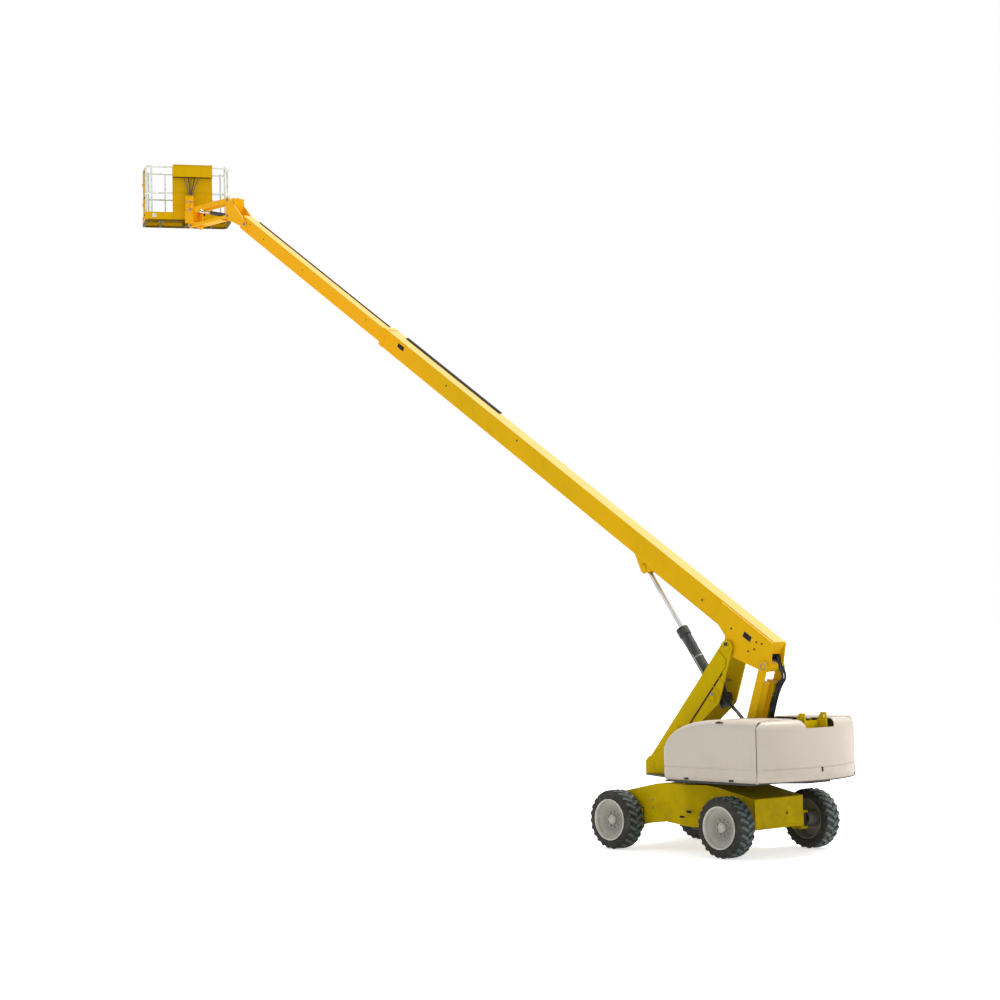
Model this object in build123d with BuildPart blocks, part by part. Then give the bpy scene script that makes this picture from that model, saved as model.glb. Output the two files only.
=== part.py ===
from build123d import *
import os
from math import atan2, cos, degrees, hypot, radians, sin

os.makedirs("parts", exist_ok=True)

# Self-propelled telescopic boom lift, in millimetres.
# The origin is on the ground under the slewing axis. +X points to the steered axle and the
# counterweight, the boom points to -X, and +Z is up.

# Running clearances and common stock
pin_gap = 0.3
side_gap = 5
free_gap = 10
cut_overrun = 20
pin_radius = 45

# Wheels and axles
wheel_base = 2560
track = 2140
tyre_radius = 507.5
tyre_width = 355
lug_height = 26
lug_count = 18
lug_thick = 44
lug_reach = 176
lug_shift = 82
lug_slant = 36
lug_root = 6
tread_width = 320
shoulder_radius = 60
bead_radius = 338
bead_width = 300
rim_wall = 12
rim_flange = 16
rim_flange_width = 14
rim_dish_depth = 95
hub_radius = 150
hub_depth = 130
hub_cap_radius = 95
spindle_radius = 110
axle_z = tyre_radius
steer_offset = 240
knuckle_radius = 75
knuckle_height = 230
clevis_plate = 40
clevis_reach = 95
axle_box_height = 340
axle_box_length = 620
steer_beam_width = 200
steer_beam_height = 200
steer_arm_length = 190
steer_arm_width = 70
steer_arm_thick = 22
arm_pocket_length = 52
arm_pocket_depth = 27
tie_rod_radius = 24
tie_eye_radius = 36

# Chassis
chassis_end_x = 1500
chassis_half_width = 850
steer_end_half_width = 600
chassis_bottom_z = 430
chassis_arch_z = 500
chassis_end_top_z = 940
chassis_top_z = 1140
chassis_flat_half = 480
chassis_wall = 12
end_plate = 25
tie_down_radius = 25
tie_down_y = 190
tie_down_z = 670
steer_slot_half = 95

# Slewing bearing and turntable
bearing_radius = 520
bearing_inner_radius = 380
turntable_z = 1220
base_plate = 30
base_half_width = 620
wall_outer_y = 285
wall_thick = 28
tail_radius = 2460
lift_lug_x = 2290
lift_lug_z = 2300
lift_lug_bore = 25

# Covers
cover_wall = 12
cover_half_width = 1235
cover_inner_y = 320
cover_front_x = -30
cover_rear_x = 2115
cover_bottom_z = 1258
cover_top_z = 2270
cover_side_radius = 130
cover_front_radius = 140
rear_cover_top_z = 2262
notch_half = 400
notch_depth = 172
groove_z = 1480
groove_height = 14
groove_depth = 6
cover_hinge_y = 303
cover_hinge_drop = 18
cover_hinge_pin = 8
cover_hinge_ring = 17
cover_hinge_lug = 14
cover_hinge_length = 80
cover_hinge_first_x = 1150
cover_hinge_last_x = 1930
seam_gap = 10

# Heavy masses inside the covers
weight_front_x = 1560
weight_height = 520
weight_gap = 30
engine_length = 950
engine_width = 560
engine_height = 620
engine_x = 800
tank_length = 900
tank_width = 480
tank_height = 520

# Boom geometry at rest
boom_angle = 32.1
tail_x = 1610
tail_z = 3530
base_length = 12080
base_width = 296
base_height = 376
base_wall = 5
base_corner = 22
keel_depth = 40
keel_length = 3250
mouth_collar = 10
mouth_length = 110
fly_width = 240
fly_height = 304
fly_wall = 5
fly_corner = 18
fly_start = 9900
fly_end = 17850
pad_length = 160
hose_radius = 12
hose_y = 93
hose_start = 12200
hose_end = 17500
carrier_start = 8300
carrier_end = 11600
carrier_y = 70
carrier_width = 72
carrier_height = 52
tail_plate = 22
boss_radius = 88

# Lift linkage, as places in the XZ plane
arm_foot_x = -1200
arm_foot_z = 1420
arm_head_x = 600
arm_head_z = 3440
link_foot_x = 810
link_foot_z = 1380
link_head_x = 1420
link_head_z = 3120
cylinder_foot_x = 250
cylinder_foot_z = 2590
cylinder_head_x = -1460
cylinder_head_z = 4845
arm_inner_y = 200
arm_plate = 30
arm_end_radius = 125
arm_boss_radius = 165
arm_web = 16
pocket_depth = 10
pocket_rim = 34
link_end_radius = 85
barrel_radius = 95
rod_radius = 50
rod_clearance = 0.5
eye_half = 58
eye_radius = 82
gland_length = 150
gland_radius = 108
gland_z = 3770
barrel_tail = 180
barrel_cap = 30
rod_start = 560
bracket_plate = 25

# Tip head, jib and platform support
tip_pivot_along = 17700
jib_foot_x = -14120
jib_head_x = -15570
jib_upper_z = 13420
jib_lower_z = 13060
head_inner_y = 126
head_plate = 22
head_web_x = -13960
head_web_length = 100
jib_bar_inner = 96
jib_bar = 25
jib_upper_depth = 105
jib_lower_depth = 70
jib_pin_radius = 30
jib_eye_radius = 55
jib_barrel_radius = 45
jib_rod_radius = 22
jib_eye_half = 80
jib_cylinder_head_x = -15350
jib_cylinder_head_z = 13365
jib_boss_radius = 42
jib_upper_tie_start = 100
jib_upper_tie_length = 270
jib_lower_tie_start = 362
jib_lower_tie_length = 726
jib_barrel_share = 0.68
jib_rod_start_share = 0.335
rotator_x = -15830
rotator_radius = 95
rotator_bottom_z = 13150
rotator_top_z = 13740
support_back_x = -15640

# Platform, on a plane that follows its slewed rest position
platform_angle = -28
platform_width = 1960
platform_depth = 910
platform_offset = 210
platform_corner = 75
rail_bend = 115
floor_bottom_z = 13240
floor_top_z = 13370
deck_thick = 6
floor_beam_width = 60
floor_beam_wall = 5
toe_height = 210
toe_thick = 5
rail_top_z = 14520
rail_mid_z = 13890
rail_radius = 24
post_radius = 22
gate_width = 560
gate_gap = 12
console_width = 890
console_shift = -90
console_box_height = 280
console_box_depth = 150
console_plate = 8
hinge_wall = 14
hinge_height = 60
bracket_arm = 45

# Places that follow from the driving dimensions
front_x = -wheel_base / 2
rear_x = wheel_base / 2
side_y = track / 2
boom_cos = cos(radians(boom_angle))
boom_sin = sin(radians(boom_angle))
boom_side = Plane(origin=(tail_x, 0, tail_z), x_dir=(-boom_cos, 0, boom_sin), z_dir=(0, 1, 0))
wall_inner_y = wall_outer_y - wall_thick
arm_outer_y = arm_inner_y + arm_plate
tail_outer_y = base_width / 2 + tail_plate
head_outer_y = head_inner_y + head_plate
jib_bar_outer = jib_bar_inner + jib_bar
knuckle_y = side_y - steer_offset
hub_back_y = knuckle_y + knuckle_radius + side_gap


def boom_point(along, below):
    """Place in the XZ plane, from the tail along the boom and below its top edge."""
    x = tail_x - along * boom_cos - below * boom_sin
    z = tail_z + along * boom_sin - below * boom_cos
    return x, z


def boom_section(along, below):
    """Plane across the boom, with its own y pointing to the boom's top."""
    x, z = boom_point(along, below)
    return Plane(origin=(x, 0, z), x_dir=(0, -1, 0), z_dir=(-boom_cos, 0, boom_sin))


def boom_local(x, z):
    """Sketch coordinates on the boom's side plane of a place in the XZ plane."""
    dx, dz = x - tail_x, z - tail_z
    return -dx * boom_cos + dz * boom_sin, dx * boom_sin + dz * boom_cos


def cross_cylinder(x, z, radius, half, mode=Mode.ADD):
    """Round bar along Y, centred on the machine's middle plane."""
    with BuildSketch(Plane.XZ, mode=Mode.PRIVATE) as disc:
        with Locations((x, z)):
            Circle(radius)
    extrude(disc.sketch, amount=half, both=True, mode=mode)


def side_pair(sketch, inner, thick, mode=Mode.ADD):
    """Two equal plates from one XZ outline, one on each side of the middle plane."""
    for y in (-inner - thick, inner):
        extrude(sketch.moved(Location((0, y + thick, 0))), amount=thick, mode=mode)


def line_plane(start, end, start_share=0):
    """Plane at a share of the way from one XZ place to another, facing along the way."""
    dx, dz = end[0] - start[0], end[1] - start[1]
    size = hypot(dx, dz)
    origin = (start[0] + dx * start_share, 0, start[1] + dz * start_share)
    return Plane(origin=origin, x_dir=(0, 1, 0), z_dir=(dx / size, 0, dz / size))


# Chassis: a welded box with sloped top plates, wide at the fixed axle and narrow at the steered one
def chassis_body(inset):
    """Outer form of the chassis box, or its hollow when inset by the plate thickness."""
    end = chassis_end_x - (end_plate if inset else 0)
    bottom, arch = chassis_bottom_z + inset, chassis_arch_z + inset
    low_top, high_top = chassis_end_top_z - inset, chassis_top_z - inset
    wide, narrow = chassis_half_width - inset, steer_end_half_width - inset
    arch_start, arch_end = -chassis_end_x * 0.6, -chassis_end_x * 0.2
    taper_start, taper_end = chassis_end_x * 0.1, chassis_end_x * 0.45
    with BuildPart() as body:
        with BuildSketch(Plane.XZ):
            with BuildLine():
                Polyline(
                    (-end, bottom), (arch_start, bottom), (arch_end, arch), (-arch_end, bottom),
                    (end, bottom), (end, low_top), (chassis_flat_half, high_top),
                    (-chassis_flat_half, high_top), (-end, low_top), close=True,
                )
            make_face()
        extrude(amount=chassis_half_width * 2, both=True)
        with BuildSketch(Plane.XY):
            with BuildLine():
                Polyline(
                    (-end, -wide), (taper_start, -wide), (taper_end, -narrow), (end, -narrow),
                    (end, narrow), (taper_end, narrow), (taper_start, wide), (-end, wide), close=True,
                )
            make_face()
        extrude(amount=turntable_z, mode=Mode.INTERSECT)
    return body.part


arm_reach_x = rear_x - steer_arm_length
slot_top_z = axle_z + tie_eye_radius + side_gap
with BuildPart() as chassis_frame:
    add(chassis_body(0))
    add(chassis_body(chassis_wall), mode=Mode.SUBTRACT)
    # Pedestal under the slewing bearing
    with BuildSketch(Plane.XY.offset(chassis_top_z - chassis_wall)):
        Circle(bearing_radius)
        Circle(bearing_inner_radius, mode=Mode.SUBTRACT)
    extrude(amount=chassis_wall + base_plate)
    # Tie-down holes in both end plates
    for x in (-chassis_end_x, chassis_end_x):
        with BuildSketch(Plane.YZ.offset(x)):
            with Locations((tie_down_y, tie_down_z)):
                Circle(tie_down_radius)
        extrude(amount=end_plate * 2, both=True, mode=Mode.SUBTRACT)
    # Tunnel for the steering tie rod, open below
    with Locations((arm_reach_x, 0, chassis_bottom_z)):
        Box(
            steer_slot_half * 2 + chassis_wall * 2, steer_end_half_width * 2,
            slot_top_z - chassis_bottom_z + chassis_wall,
            align=(Align.CENTER, Align.CENTER, Align.MIN),
        )
        Box(
            steer_slot_half * 2, steer_end_half_width * 2 + cut_overrun, slot_top_z - chassis_bottom_z,
            align=(Align.CENTER, Align.CENTER, Align.MIN), mode=Mode.SUBTRACT,
        )
chassis_frame.part.label = "chassis_frame"
export_step(chassis_frame.part, "parts/chassis_frame.step")

# Fixed axle: a housing on each side of the chassis with a spindle flange for the wheel's drive
flange_y = side_y - tyre_width / 2 - free_gap
with BuildPart() as fixed_axle:
    for side in (-1, 1):
        with Locations((front_x + axle_box_length * 0.2, side * chassis_half_width, axle_z + lug_height)):
            Box(
                axle_box_length, (flange_y - chassis_half_width) * 2, axle_box_height,
                align=(Align.CENTER, Align.CENTER, Align.CENTER),
            )
        with BuildSketch(Plane.XZ.offset(-side * chassis_half_width)):
            with Locations((front_x, axle_z)):
                Circle(spindle_radius)
        extrude(amount=-side * (hub_back_y - pin_gap - chassis_half_width))
    with Locations((0, 0, axle_z)):
        Box(wheel_base * 2, chassis_half_width * 2, tyre_radius * 2, mode=Mode.SUBTRACT)
fixed_axle.part.label = "fixed_axle"
export_step(fixed_axle.part, "parts/fixed_axle.step")

# Steered axle: a beam stub on each side with a fork around the kingpin
fork_half = knuckle_height / 2 + pin_gap
arm_z = axle_z - tie_eye_radius
with BuildPart() as steer_axle:
    for side in (-1, 1):
        stub_end = knuckle_y - knuckle_radius - side_gap
        with Locations((rear_x, side * (steer_end_half_width + stub_end) / 2, axle_z)):
            Box(steer_beam_width, stub_end - steer_end_half_width, steer_beam_height)
        for level in (-1, 1):
            plate_mid = level * (fork_half + clevis_plate / 2)
            with Locations((rear_x, side * (stub_end + knuckle_y) / 2 - side * side_gap, axle_z + plate_mid)):
                Box(steer_beam_width, knuckle_y - stub_end + side_gap * 2, clevis_plate)
            with BuildSketch(Plane.XY.offset(axle_z + level * fork_half)):
                with Locations((rear_x, side * knuckle_y)):
                    Circle(steer_beam_width / 2)
            extrude(amount=level * clevis_plate)
        with Locations((rear_x, side * (stub_end - clevis_plate), axle_z)):
            Box(steer_beam_width, clevis_plate * 2, (fork_half + clevis_plate) * 2)
        # Pocket that lets the steering arm swing in
        with Locations((rear_x - steer_beam_width / 2, side * stub_end, arm_z - steer_arm_thick / 2)):
            Box(
                arm_pocket_length * 2, arm_pocket_depth * 2, steer_arm_thick + side_gap * 2,
                mode=Mode.SUBTRACT,
            )
        with BuildSketch(Plane.XY.offset(axle_z - fork_half - clevis_plate)):
            with Locations((rear_x, side * knuckle_y)):
                Circle(pin_radius * 0.6)
        extrude(amount=(fork_half + clevis_plate) * 2)
steer_axle.part.label = "steer_axle"
export_step(steer_axle.part, "parts/steer_axle.step")

# Knuckles: a barrel on the kingpin, a spindle for the wheel and an arm for the tie rod
for side, name in ((-1, "knuckle_left"), (1, "knuckle_right")):
    with BuildPart() as knuckle:
        with BuildSketch(Plane.XY.offset(axle_z - knuckle_height / 2)):
            with Locations((rear_x, side * knuckle_y)):
                Circle(knuckle_radius)
                Circle(pin_radius * 0.6 + pin_gap, mode=Mode.SUBTRACT)
        extrude(amount=knuckle_height)
        with BuildSketch(Plane.XZ.offset(-side * (knuckle_y + knuckle_radius * 0.7))):
            with Locations((rear_x, axle_z)):
                Circle(spindle_radius * 0.85)
        extrude(amount=-side * (hub_back_y - pin_gap - knuckle_y - knuckle_radius * 0.7))
        with BuildSketch(Plane.XY.offset(arm_z - steer_arm_thick)):
            with BuildLine():
                Polyline(
                    (arm_reach_x, side * knuckle_y - steer_arm_width / 2),
                    (rear_x - knuckle_radius * 0.8, side * knuckle_y - steer_arm_width / 2),
                    (rear_x - knuckle_radius * 0.8, side * knuckle_y + steer_arm_width / 2),
                    (arm_reach_x, side * knuckle_y + steer_arm_width / 2), close=True,
                )
            make_face()
            with Locations((arm_reach_x, side * knuckle_y)):
                Circle(steer_arm_width / 2)
        extrude(amount=steer_arm_thick)
    knuckle.part.label = name
    export_step(knuckle.part, f"parts/{name}.step")

with BuildPart() as tie_rod:
    with BuildSketch(Plane.XZ.offset(knuckle_y)):
        with Locations((arm_reach_x, arm_z + pin_gap + tie_eye_radius)):
            Circle(tie_rod_radius)
    extrude(amount=-knuckle_y * 2)
    for side in (-1, 1):
        with BuildSketch(Plane.XY.offset(arm_z + pin_gap)):
            with Locations((arm_reach_x, side * knuckle_y)):
                Circle(tie_eye_radius)
        extrude(amount=tie_eye_radius * 2)
tie_rod.part.label = "tie_rod"
export_step(tie_rod.part, "parts/tie_rod.step")

# Wheels: tyre to its lug tips, and a deep-dish rim with its drive hub
wheels = (
    # name, x, side
    ("fixed_left", front_x, -1), ("fixed_right", front_x, 1),
    ("steer_left", rear_x, -1), ("steer_right", rear_x, 1),
)


def tyre_ring(tread_radius):
    """Ring about the Y axis, out to the given radius at the tread."""
    half, tread, bead = tyre_width / 2, tread_width / 2, bead_width / 2
    wide_radius = (bead_radius + tyre_radius) / 2
    with BuildPart() as ring:
        with BuildSketch(Plane(origin=(0, 0, 0), x_dir=(0, 1, 0), z_dir=(1, 0, 0))):
            with BuildLine():
                Polyline(
                    (-bead, bead_radius), (-half, wide_radius - shoulder_radius),
                    (-half, wide_radius + shoulder_radius / 2), (-tread, tread_radius - lug_height / 2),
                    (-tread + lug_height, tread_radius), (tread - lug_height, tread_radius),
                    (tread, tread_radius - lug_height / 2), (half, wide_radius + shoulder_radius / 2),
                    (half, wide_radius - shoulder_radius), (bead, bead_radius), close=True,
                )
            make_face()
        revolve(axis=Axis.Y, revolution_arc=360)
    return ring.part


# Tread: two rows of slanted lugs, trimmed to the tyre's outer form and fused to its carrier
lug_rows = (
    # side of the tread, lead in shares of a step
    (-1, 0), (1, 0.5),
)
with BuildPart() as tread_lugs:
    for row, lead in lug_rows:
        with BuildPart(mode=Mode.PRIVATE) as one_lug:
            with BuildSketch(Plane.XY.offset(tyre_radius - lug_height - lug_root)):
                with Locations((0, row * lug_shift)):
                    Rectangle(lug_thick, lug_reach, rotation=-row * lug_slant)
            extrude(amount=lug_height * 2)
        for index in range(lug_count):
            add(one_lug.part.rotate(Axis.Y, (index + lead) * 360 / lug_count))
    add(tyre_ring(tyre_radius), mode=Mode.INTERSECT)
with BuildPart() as tyre_form:
    add(tyre_ring(tyre_radius - lug_height))
    add(tread_lugs.part)

for name, x, side in wheels:
    wheel_plane = Plane(origin=(x, side * side_y, axle_z), x_dir=(0, side, 0), z_dir=(1, 0, 0))
    half, bead = tyre_width / 2, bead_width / 2
    tyre = tyre_form.part.moved(Location((x, side * side_y, axle_z)))
    tyre.label = f"tyre_{name}"
    export_step(tyre, f"parts/tyre_{name}.step")

    rim_out = bead_radius - pin_gap
    rim_in = rim_out - rim_wall
    disc_y = half - rim_dish_depth
    back_y = hub_back_y - side_y
    with BuildPart() as rim:
        with BuildSketch(wheel_plane):
            with BuildLine():
                Polyline(
                    (-bead, rim_out), (bead, rim_out), (half, rim_out + rim_flange),
                    (half + rim_flange_width, rim_out + rim_flange),
                    (half + rim_flange_width, rim_out), (bead + rim_wall, rim_in),
                    (disc_y + rim_dish_depth * 0.4, rim_in), (disc_y, hub_radius + rim_flange * 2),
                    (disc_y, hub_cap_radius), (disc_y + hub_depth * 0.35, hub_cap_radius * 0.8),
                    (disc_y + hub_depth * 0.35, 0), (back_y, 0), (back_y, spindle_radius),
                    (disc_y - rim_wall * 2, hub_radius), (disc_y - rim_wall * 1.5, rim_in - rim_flange),
                    (-bead, rim_in), close=True,
                )
            make_face()
        revolve(axis=Axis((x, 0, axle_z), (0, 1, 0)), revolution_arc=360)
    rim.part.label = f"rim_{name}"
    export_step(rim.part, f"parts/rim_{name}.step")

# Slewing bearing, fixed to the chassis pedestal
with BuildPart() as slew_bearing:
    with BuildSketch(Plane.XY.offset(chassis_top_z + base_plate)):
        Circle(bearing_radius)
        Circle(bearing_inner_radius, mode=Mode.SUBTRACT)
    extrude(amount=turntable_z - chassis_top_z - base_plate - pin_gap)
slew_bearing.part.label = "slew_bearing"
export_step(slew_bearing.part, "parts/slew_bearing.step")

# Turntable: a base plate and two side walls, with ears for the lift arm and rear lifting lugs
wall_top_z = cover_top_z - cover_side_radius * 1.6
cover_hinge_z = cover_top_z - cover_hinge_drop
ear = arm_end_radius
mass_floor = turntable_z + base_plate
with BuildPart() as turntable_walls:
    with BuildSketch(Plane.XZ, mode=Mode.PRIVATE) as wall_outline:
        with BuildLine():
            Polyline(
                (arm_foot_x - ear, mass_floor), (arm_foot_x - ear, arm_foot_z + ear * 0.4),
                (arm_foot_x - ear * 0.4, arm_foot_z + ear), (arm_foot_x + ear * 2, arm_foot_z + ear * 1.9),
                (arm_foot_x + ear * 5, wall_top_z), (link_foot_x, wall_top_z),
                (lift_lug_x - ear * 2, wall_top_z), (lift_lug_x - ear * 0.5, lift_lug_z + ear * 0.5),
                (lift_lug_x + ear * 0.4, lift_lug_z + ear * 0.5),
                (lift_lug_x + ear * 0.7, mass_floor), close=True,
            )
        make_face()
    side_pair(wall_outline.sketch, wall_inner_y, wall_thick)
    cross_cylinder(arm_foot_x, arm_foot_z, pin_radius + pin_gap, wall_outer_y * 2, Mode.SUBTRACT)
    cross_cylinder(link_foot_x, link_foot_z, pin_radius + pin_gap, wall_outer_y * 2, Mode.SUBTRACT)
    cross_cylinder(lift_lug_x, lift_lug_z, lift_lug_bore, wall_outer_y * 2, Mode.SUBTRACT)
    # Hinge lugs and bars that carry the covers along their inner edge
    for side in (-1, 1):
        for x in (cover_hinge_first_x, cover_hinge_last_x):
            for end in (-1, 1):
                lug_x = x + end * (cover_hinge_length / 2 + side_gap)
                with BuildSketch(Plane.YZ.offset(lug_x)):
                    with Locations((side * cover_hinge_y, cover_hinge_z)):
                        Circle(cover_hinge_lug)
                    with BuildLine():
                        Polyline(
                            (side * cover_hinge_y + side * cover_hinge_lug, cover_hinge_z),
                            (side * (cover_hinge_y - cover_hinge_lug), cover_hinge_z + cover_hinge_lug * 0.5),
                            (side * wall_inner_y, wall_top_z), (side * wall_inner_y, wall_top_z - base_plate),
                            (side * (wall_outer_y - pin_gap), wall_top_z - base_plate), close=True,
                        )
                    make_face()
                extrude(amount=end * cover_hinge_lug)
            with BuildSketch(Plane.YZ.offset(x - cover_hinge_length / 2 - side_gap)):
                with Locations((side * cover_hinge_y, cover_hinge_z)):
                    Circle(cover_hinge_pin)
            extrude(amount=cover_hinge_length + side_gap * 2)
turntable_walls.part.label = "turntable_walls"
export_step(turntable_walls.part, "parts/turntable_walls.step")

# Turntable pan: the base plate on the bearing, with the floor plates beside it
with BuildPart() as turntable_frame:
    with BuildSketch(Plane.XY.offset(turntable_z)):
        with BuildLine():
            Polyline(
                (arm_foot_x - ear, -wall_outer_y), (-bearing_radius, -base_half_width),
                (lift_lug_x - ear * 3, -base_half_width), (lift_lug_x + ear * 0.7, -wall_outer_y),
                (lift_lug_x + ear * 0.7, wall_outer_y), (lift_lug_x - ear * 3, base_half_width),
                (-bearing_radius, base_half_width), (arm_foot_x - ear, wall_outer_y), close=True,
            )
        make_face()
    extrude(amount=base_plate)
    # Floor plates that carry the covers and the masses inside them
    shelf_mid_y = (base_half_width + cover_half_width - cover_wall - free_gap) / 2
    for side in (-1, 1):
        with Locations((cover_front_x + tail_radius * 0.42, side * shelf_mid_y, turntable_z)):
            Box(
                tail_radius * 0.78, cover_half_width - cover_wall - free_gap - base_half_width,
                base_plate, align=(Align.CENTER, Align.CENTER, Align.MIN),
            )
turntable_frame.part.label = "turntable_frame"
export_step(turntable_frame.part, "parts/turntable_frame.step")

# Masses on the turntable: cast counterweight, engine and hydraulic tank
weight_half = cover_half_width - cover_wall - weight_gap
with BuildPart() as counterweight:
    with BuildSketch(Plane.XY.offset(mass_floor)):
        Circle(tail_radius - cover_wall - pin_gap)
        with Locations((weight_front_x, 0)):
            Rectangle(
                tail_radius, weight_half * 2, align=(Align.MIN, Align.CENTER), mode=Mode.INTERSECT,
            )
        with Locations((weight_front_x - cut_overrun, 0)):
            Rectangle(
                lift_lug_x + ear * 0.7 + free_gap - weight_front_x + cut_overrun,
                (wall_outer_y + free_gap) * 2, align=(Align.MIN, Align.CENTER), mode=Mode.SUBTRACT,
            )
    extrude(amount=weight_height)
counterweight.part.label = "counterweight"
export_step(counterweight.part, "parts/counterweight.step")

with BuildPart() as engine_block:
    with Locations((engine_x, (cover_inner_y + cover_half_width) / 2, mass_floor)):
        Box(engine_length, engine_width, engine_height, align=(Align.CENTER, Align.CENTER, Align.MIN))
engine_block.part.label = "engine_block"
export_step(engine_block.part, "parts/engine_block.step")

with BuildPart() as hydraulic_tank:
    with Locations((engine_x, -(cover_inner_y + cover_half_width) / 2, mass_floor)):
        Box(tank_length, tank_width, tank_height, align=(Align.CENTER, Align.CENTER, Align.MIN))
hydraulic_tank.part.label = "hydraulic_tank"
export_step(hydraulic_tank.part, "parts/hydraulic_tank.step")


# Covers: a rounded hood on each side, hinged along its upper inner edge
def hood_body(side, inset):
    """Outer form of a side hood, or its hollow when inset by the shell's thickness."""
    length = cover_rear_x - cover_front_x
    reach = cut_overrun if inset else 0
    front, top = cover_front_x + inset, cover_top_z - inset
    bottom = cover_bottom_z - reach
    outer, inner = cover_half_width - inset, cover_inner_y - reach
    with BuildPart() as body:
        with BuildSketch(Plane.XZ.offset(-side * inner)):
            with BuildLine():
                Polyline(
                    (front, bottom), (front, top - length * 0.19), (front + length * 0.13, top - length * 0.08),
                    (front + length * 0.3, top - length * 0.025), (front + length * 0.5, top),
                    (cover_rear_x + reach, top), (cover_rear_x + reach, bottom), close=True,
                )
            make_face()
        extrude(amount=-side * (outer - inner))
        outer_face = body.faces().sort_by(Axis.Y)[-1 if side > 0 else 0]
        top_edges = outer_face.edges().filter_by(lambda edge: edge.center().Z > bottom + length * 0.3)
        fillet(top_edges.filter_by(lambda e: abs((e % 0).Z) < 0.99), radius=cover_side_radius - inset)
    return body.part


def groove_band(outer, inner):
    """Ring between two forms of a cover, at the height of its groove."""
    with BuildPart() as band:
        add(outer)
        add(inner, mode=Mode.SUBTRACT)
        with Locations((0, 0, groove_z)):
            Box(tail_radius * 2, tail_radius * 2, groove_height, mode=Mode.INTERSECT)
    return band.part


for side, name in ((-1, "cover_left"), (1, "cover_right")):
    with BuildPart() as cover:
        add(hood_body(side, 0))
        add(hood_body(side, cover_wall), mode=Mode.SUBTRACT)
        add(groove_band(hood_body(side, 0), hood_body(side, groove_depth)), mode=Mode.SUBTRACT)
        for x in (cover_hinge_first_x, cover_hinge_last_x):
            with BuildSketch(Plane.YZ.offset(x - cover_hinge_length / 2)):
                with Locations((side * cover_hinge_y, cover_hinge_z)):
                    Circle(cover_hinge_ring)
                with Locations((side * (cover_inner_y + cover_hinge_ring) / 2 + side * cover_hinge_y / 2, cover_top_z)):
                    Rectangle(
                        cover_inner_y + cover_hinge_ring - cover_hinge_y, cover_wall,
                        align=(Align.CENTER, Align.MAX),
                    )
            extrude(amount=cover_hinge_length)
            with BuildSketch(Plane.YZ.offset(x - cover_hinge_length)):
                with Locations((side * cover_hinge_y, cover_hinge_z)):
                    Circle(cover_hinge_pin + pin_gap)
            extrude(amount=cover_hinge_length * 2, mode=Mode.SUBTRACT)
    cover.part.label = name
    export_step(cover.part, f"parts/{name}.step")


def rear_body(inset):
    """Outer form of the rear cover, or its hollow when inset by the shell's thickness."""
    reach = cut_overrun if inset else 0
    with BuildPart() as body:
        with BuildSketch(Plane.XY.offset(cover_bottom_z - reach)):
            Circle(tail_radius - inset)
            with Locations((cover_rear_x + seam_gap - reach, 0)):
                Rectangle(
                    tail_radius, (cover_half_width - inset) * 2,
                    align=(Align.MIN, Align.CENTER), mode=Mode.INTERSECT,
                )
        extrude(amount=rear_cover_top_z - inset - cover_bottom_z + reach)
    return body.part


with BuildPart() as rear_cover:
    add(rear_body(0))
    add(rear_body(cover_wall), mode=Mode.SUBTRACT)
    add(groove_band(rear_body(0), rear_body(groove_depth)), mode=Mode.SUBTRACT)
    with Locations((tail_radius, 0, rear_cover_top_z)):
        Box(tail_radius, notch_half * 2, notch_depth * 2, mode=Mode.SUBTRACT)
rear_cover.part.label = "rear_cover"
export_step(rear_cover.part, "parts/rear_cover.step")

# Lift arm: two wide side plates with pins at its foot, its head and the cylinder's foot
arm_foot, arm_head = (arm_foot_x, arm_foot_z), (arm_head_x, arm_head_z)
cylinder_foot, cylinder_head = (cylinder_foot_x, cylinder_foot_z), (cylinder_head_x, cylinder_head_z)
with BuildPart() as lift_arm:
    with BuildSketch(Plane.XZ, mode=Mode.PRIVATE) as arm_outline:
        with Locations(arm_foot, arm_head):
            Circle(arm_end_radius)
        with Locations(cylinder_foot):
            Circle(arm_boss_radius)
        make_hull()
    side_pair(arm_outline.sketch, arm_inner_y, arm_plate)
    # Shallow pockets in the plates' outer faces, inside a thick rim
    with BuildSketch(Plane.XZ, mode=Mode.PRIVATE) as pocket_outline:
        with Locations(arm_foot, arm_head):
            Circle(arm_end_radius - pocket_rim)
        with Locations(cylinder_foot):
            Circle(arm_boss_radius - pocket_rim)
        make_hull()
        with Locations(arm_foot, arm_head, cylinder_foot):
            Circle(pin_radius * 1.9, mode=Mode.SUBTRACT)
    side_pair(pocket_outline.sketch, arm_outer_y - pocket_depth, pocket_depth * 2, Mode.SUBTRACT)
    # Web between the plates along the lower part of their rear edge
    with BuildSketch(line_plane(arm_foot, arm_head, 0.12)):
        with Locations((0, -arm_end_radius * 0.7)):
            Rectangle(arm_inner_y * 2, arm_web)
    extrude(amount=hypot(arm_head_x - arm_foot_x, arm_head_z - arm_foot_z) * 0.3)
    cross_cylinder(*arm_foot, pin_radius, wall_outer_y + side_gap)
    cross_cylinder(*arm_foot, pin_radius * 1.8, arm_inner_y)
    cross_cylinder(*arm_head, pin_radius, arm_outer_y + side_gap)
    # Pin caps at the cylinder's foot, which leave the space between the plates free
    for side in (-1, 1):
        with BuildSketch(Plane.XZ.offset(-side * arm_inner_y)):
            with Locations(cylinder_foot):
                Circle(pin_radius)
        extrude(amount=-side * (arm_plate + side_gap * 2))
lift_arm.part.label = "lift_arm"
export_step(lift_arm.part, "parts/lift_arm.step")

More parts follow.
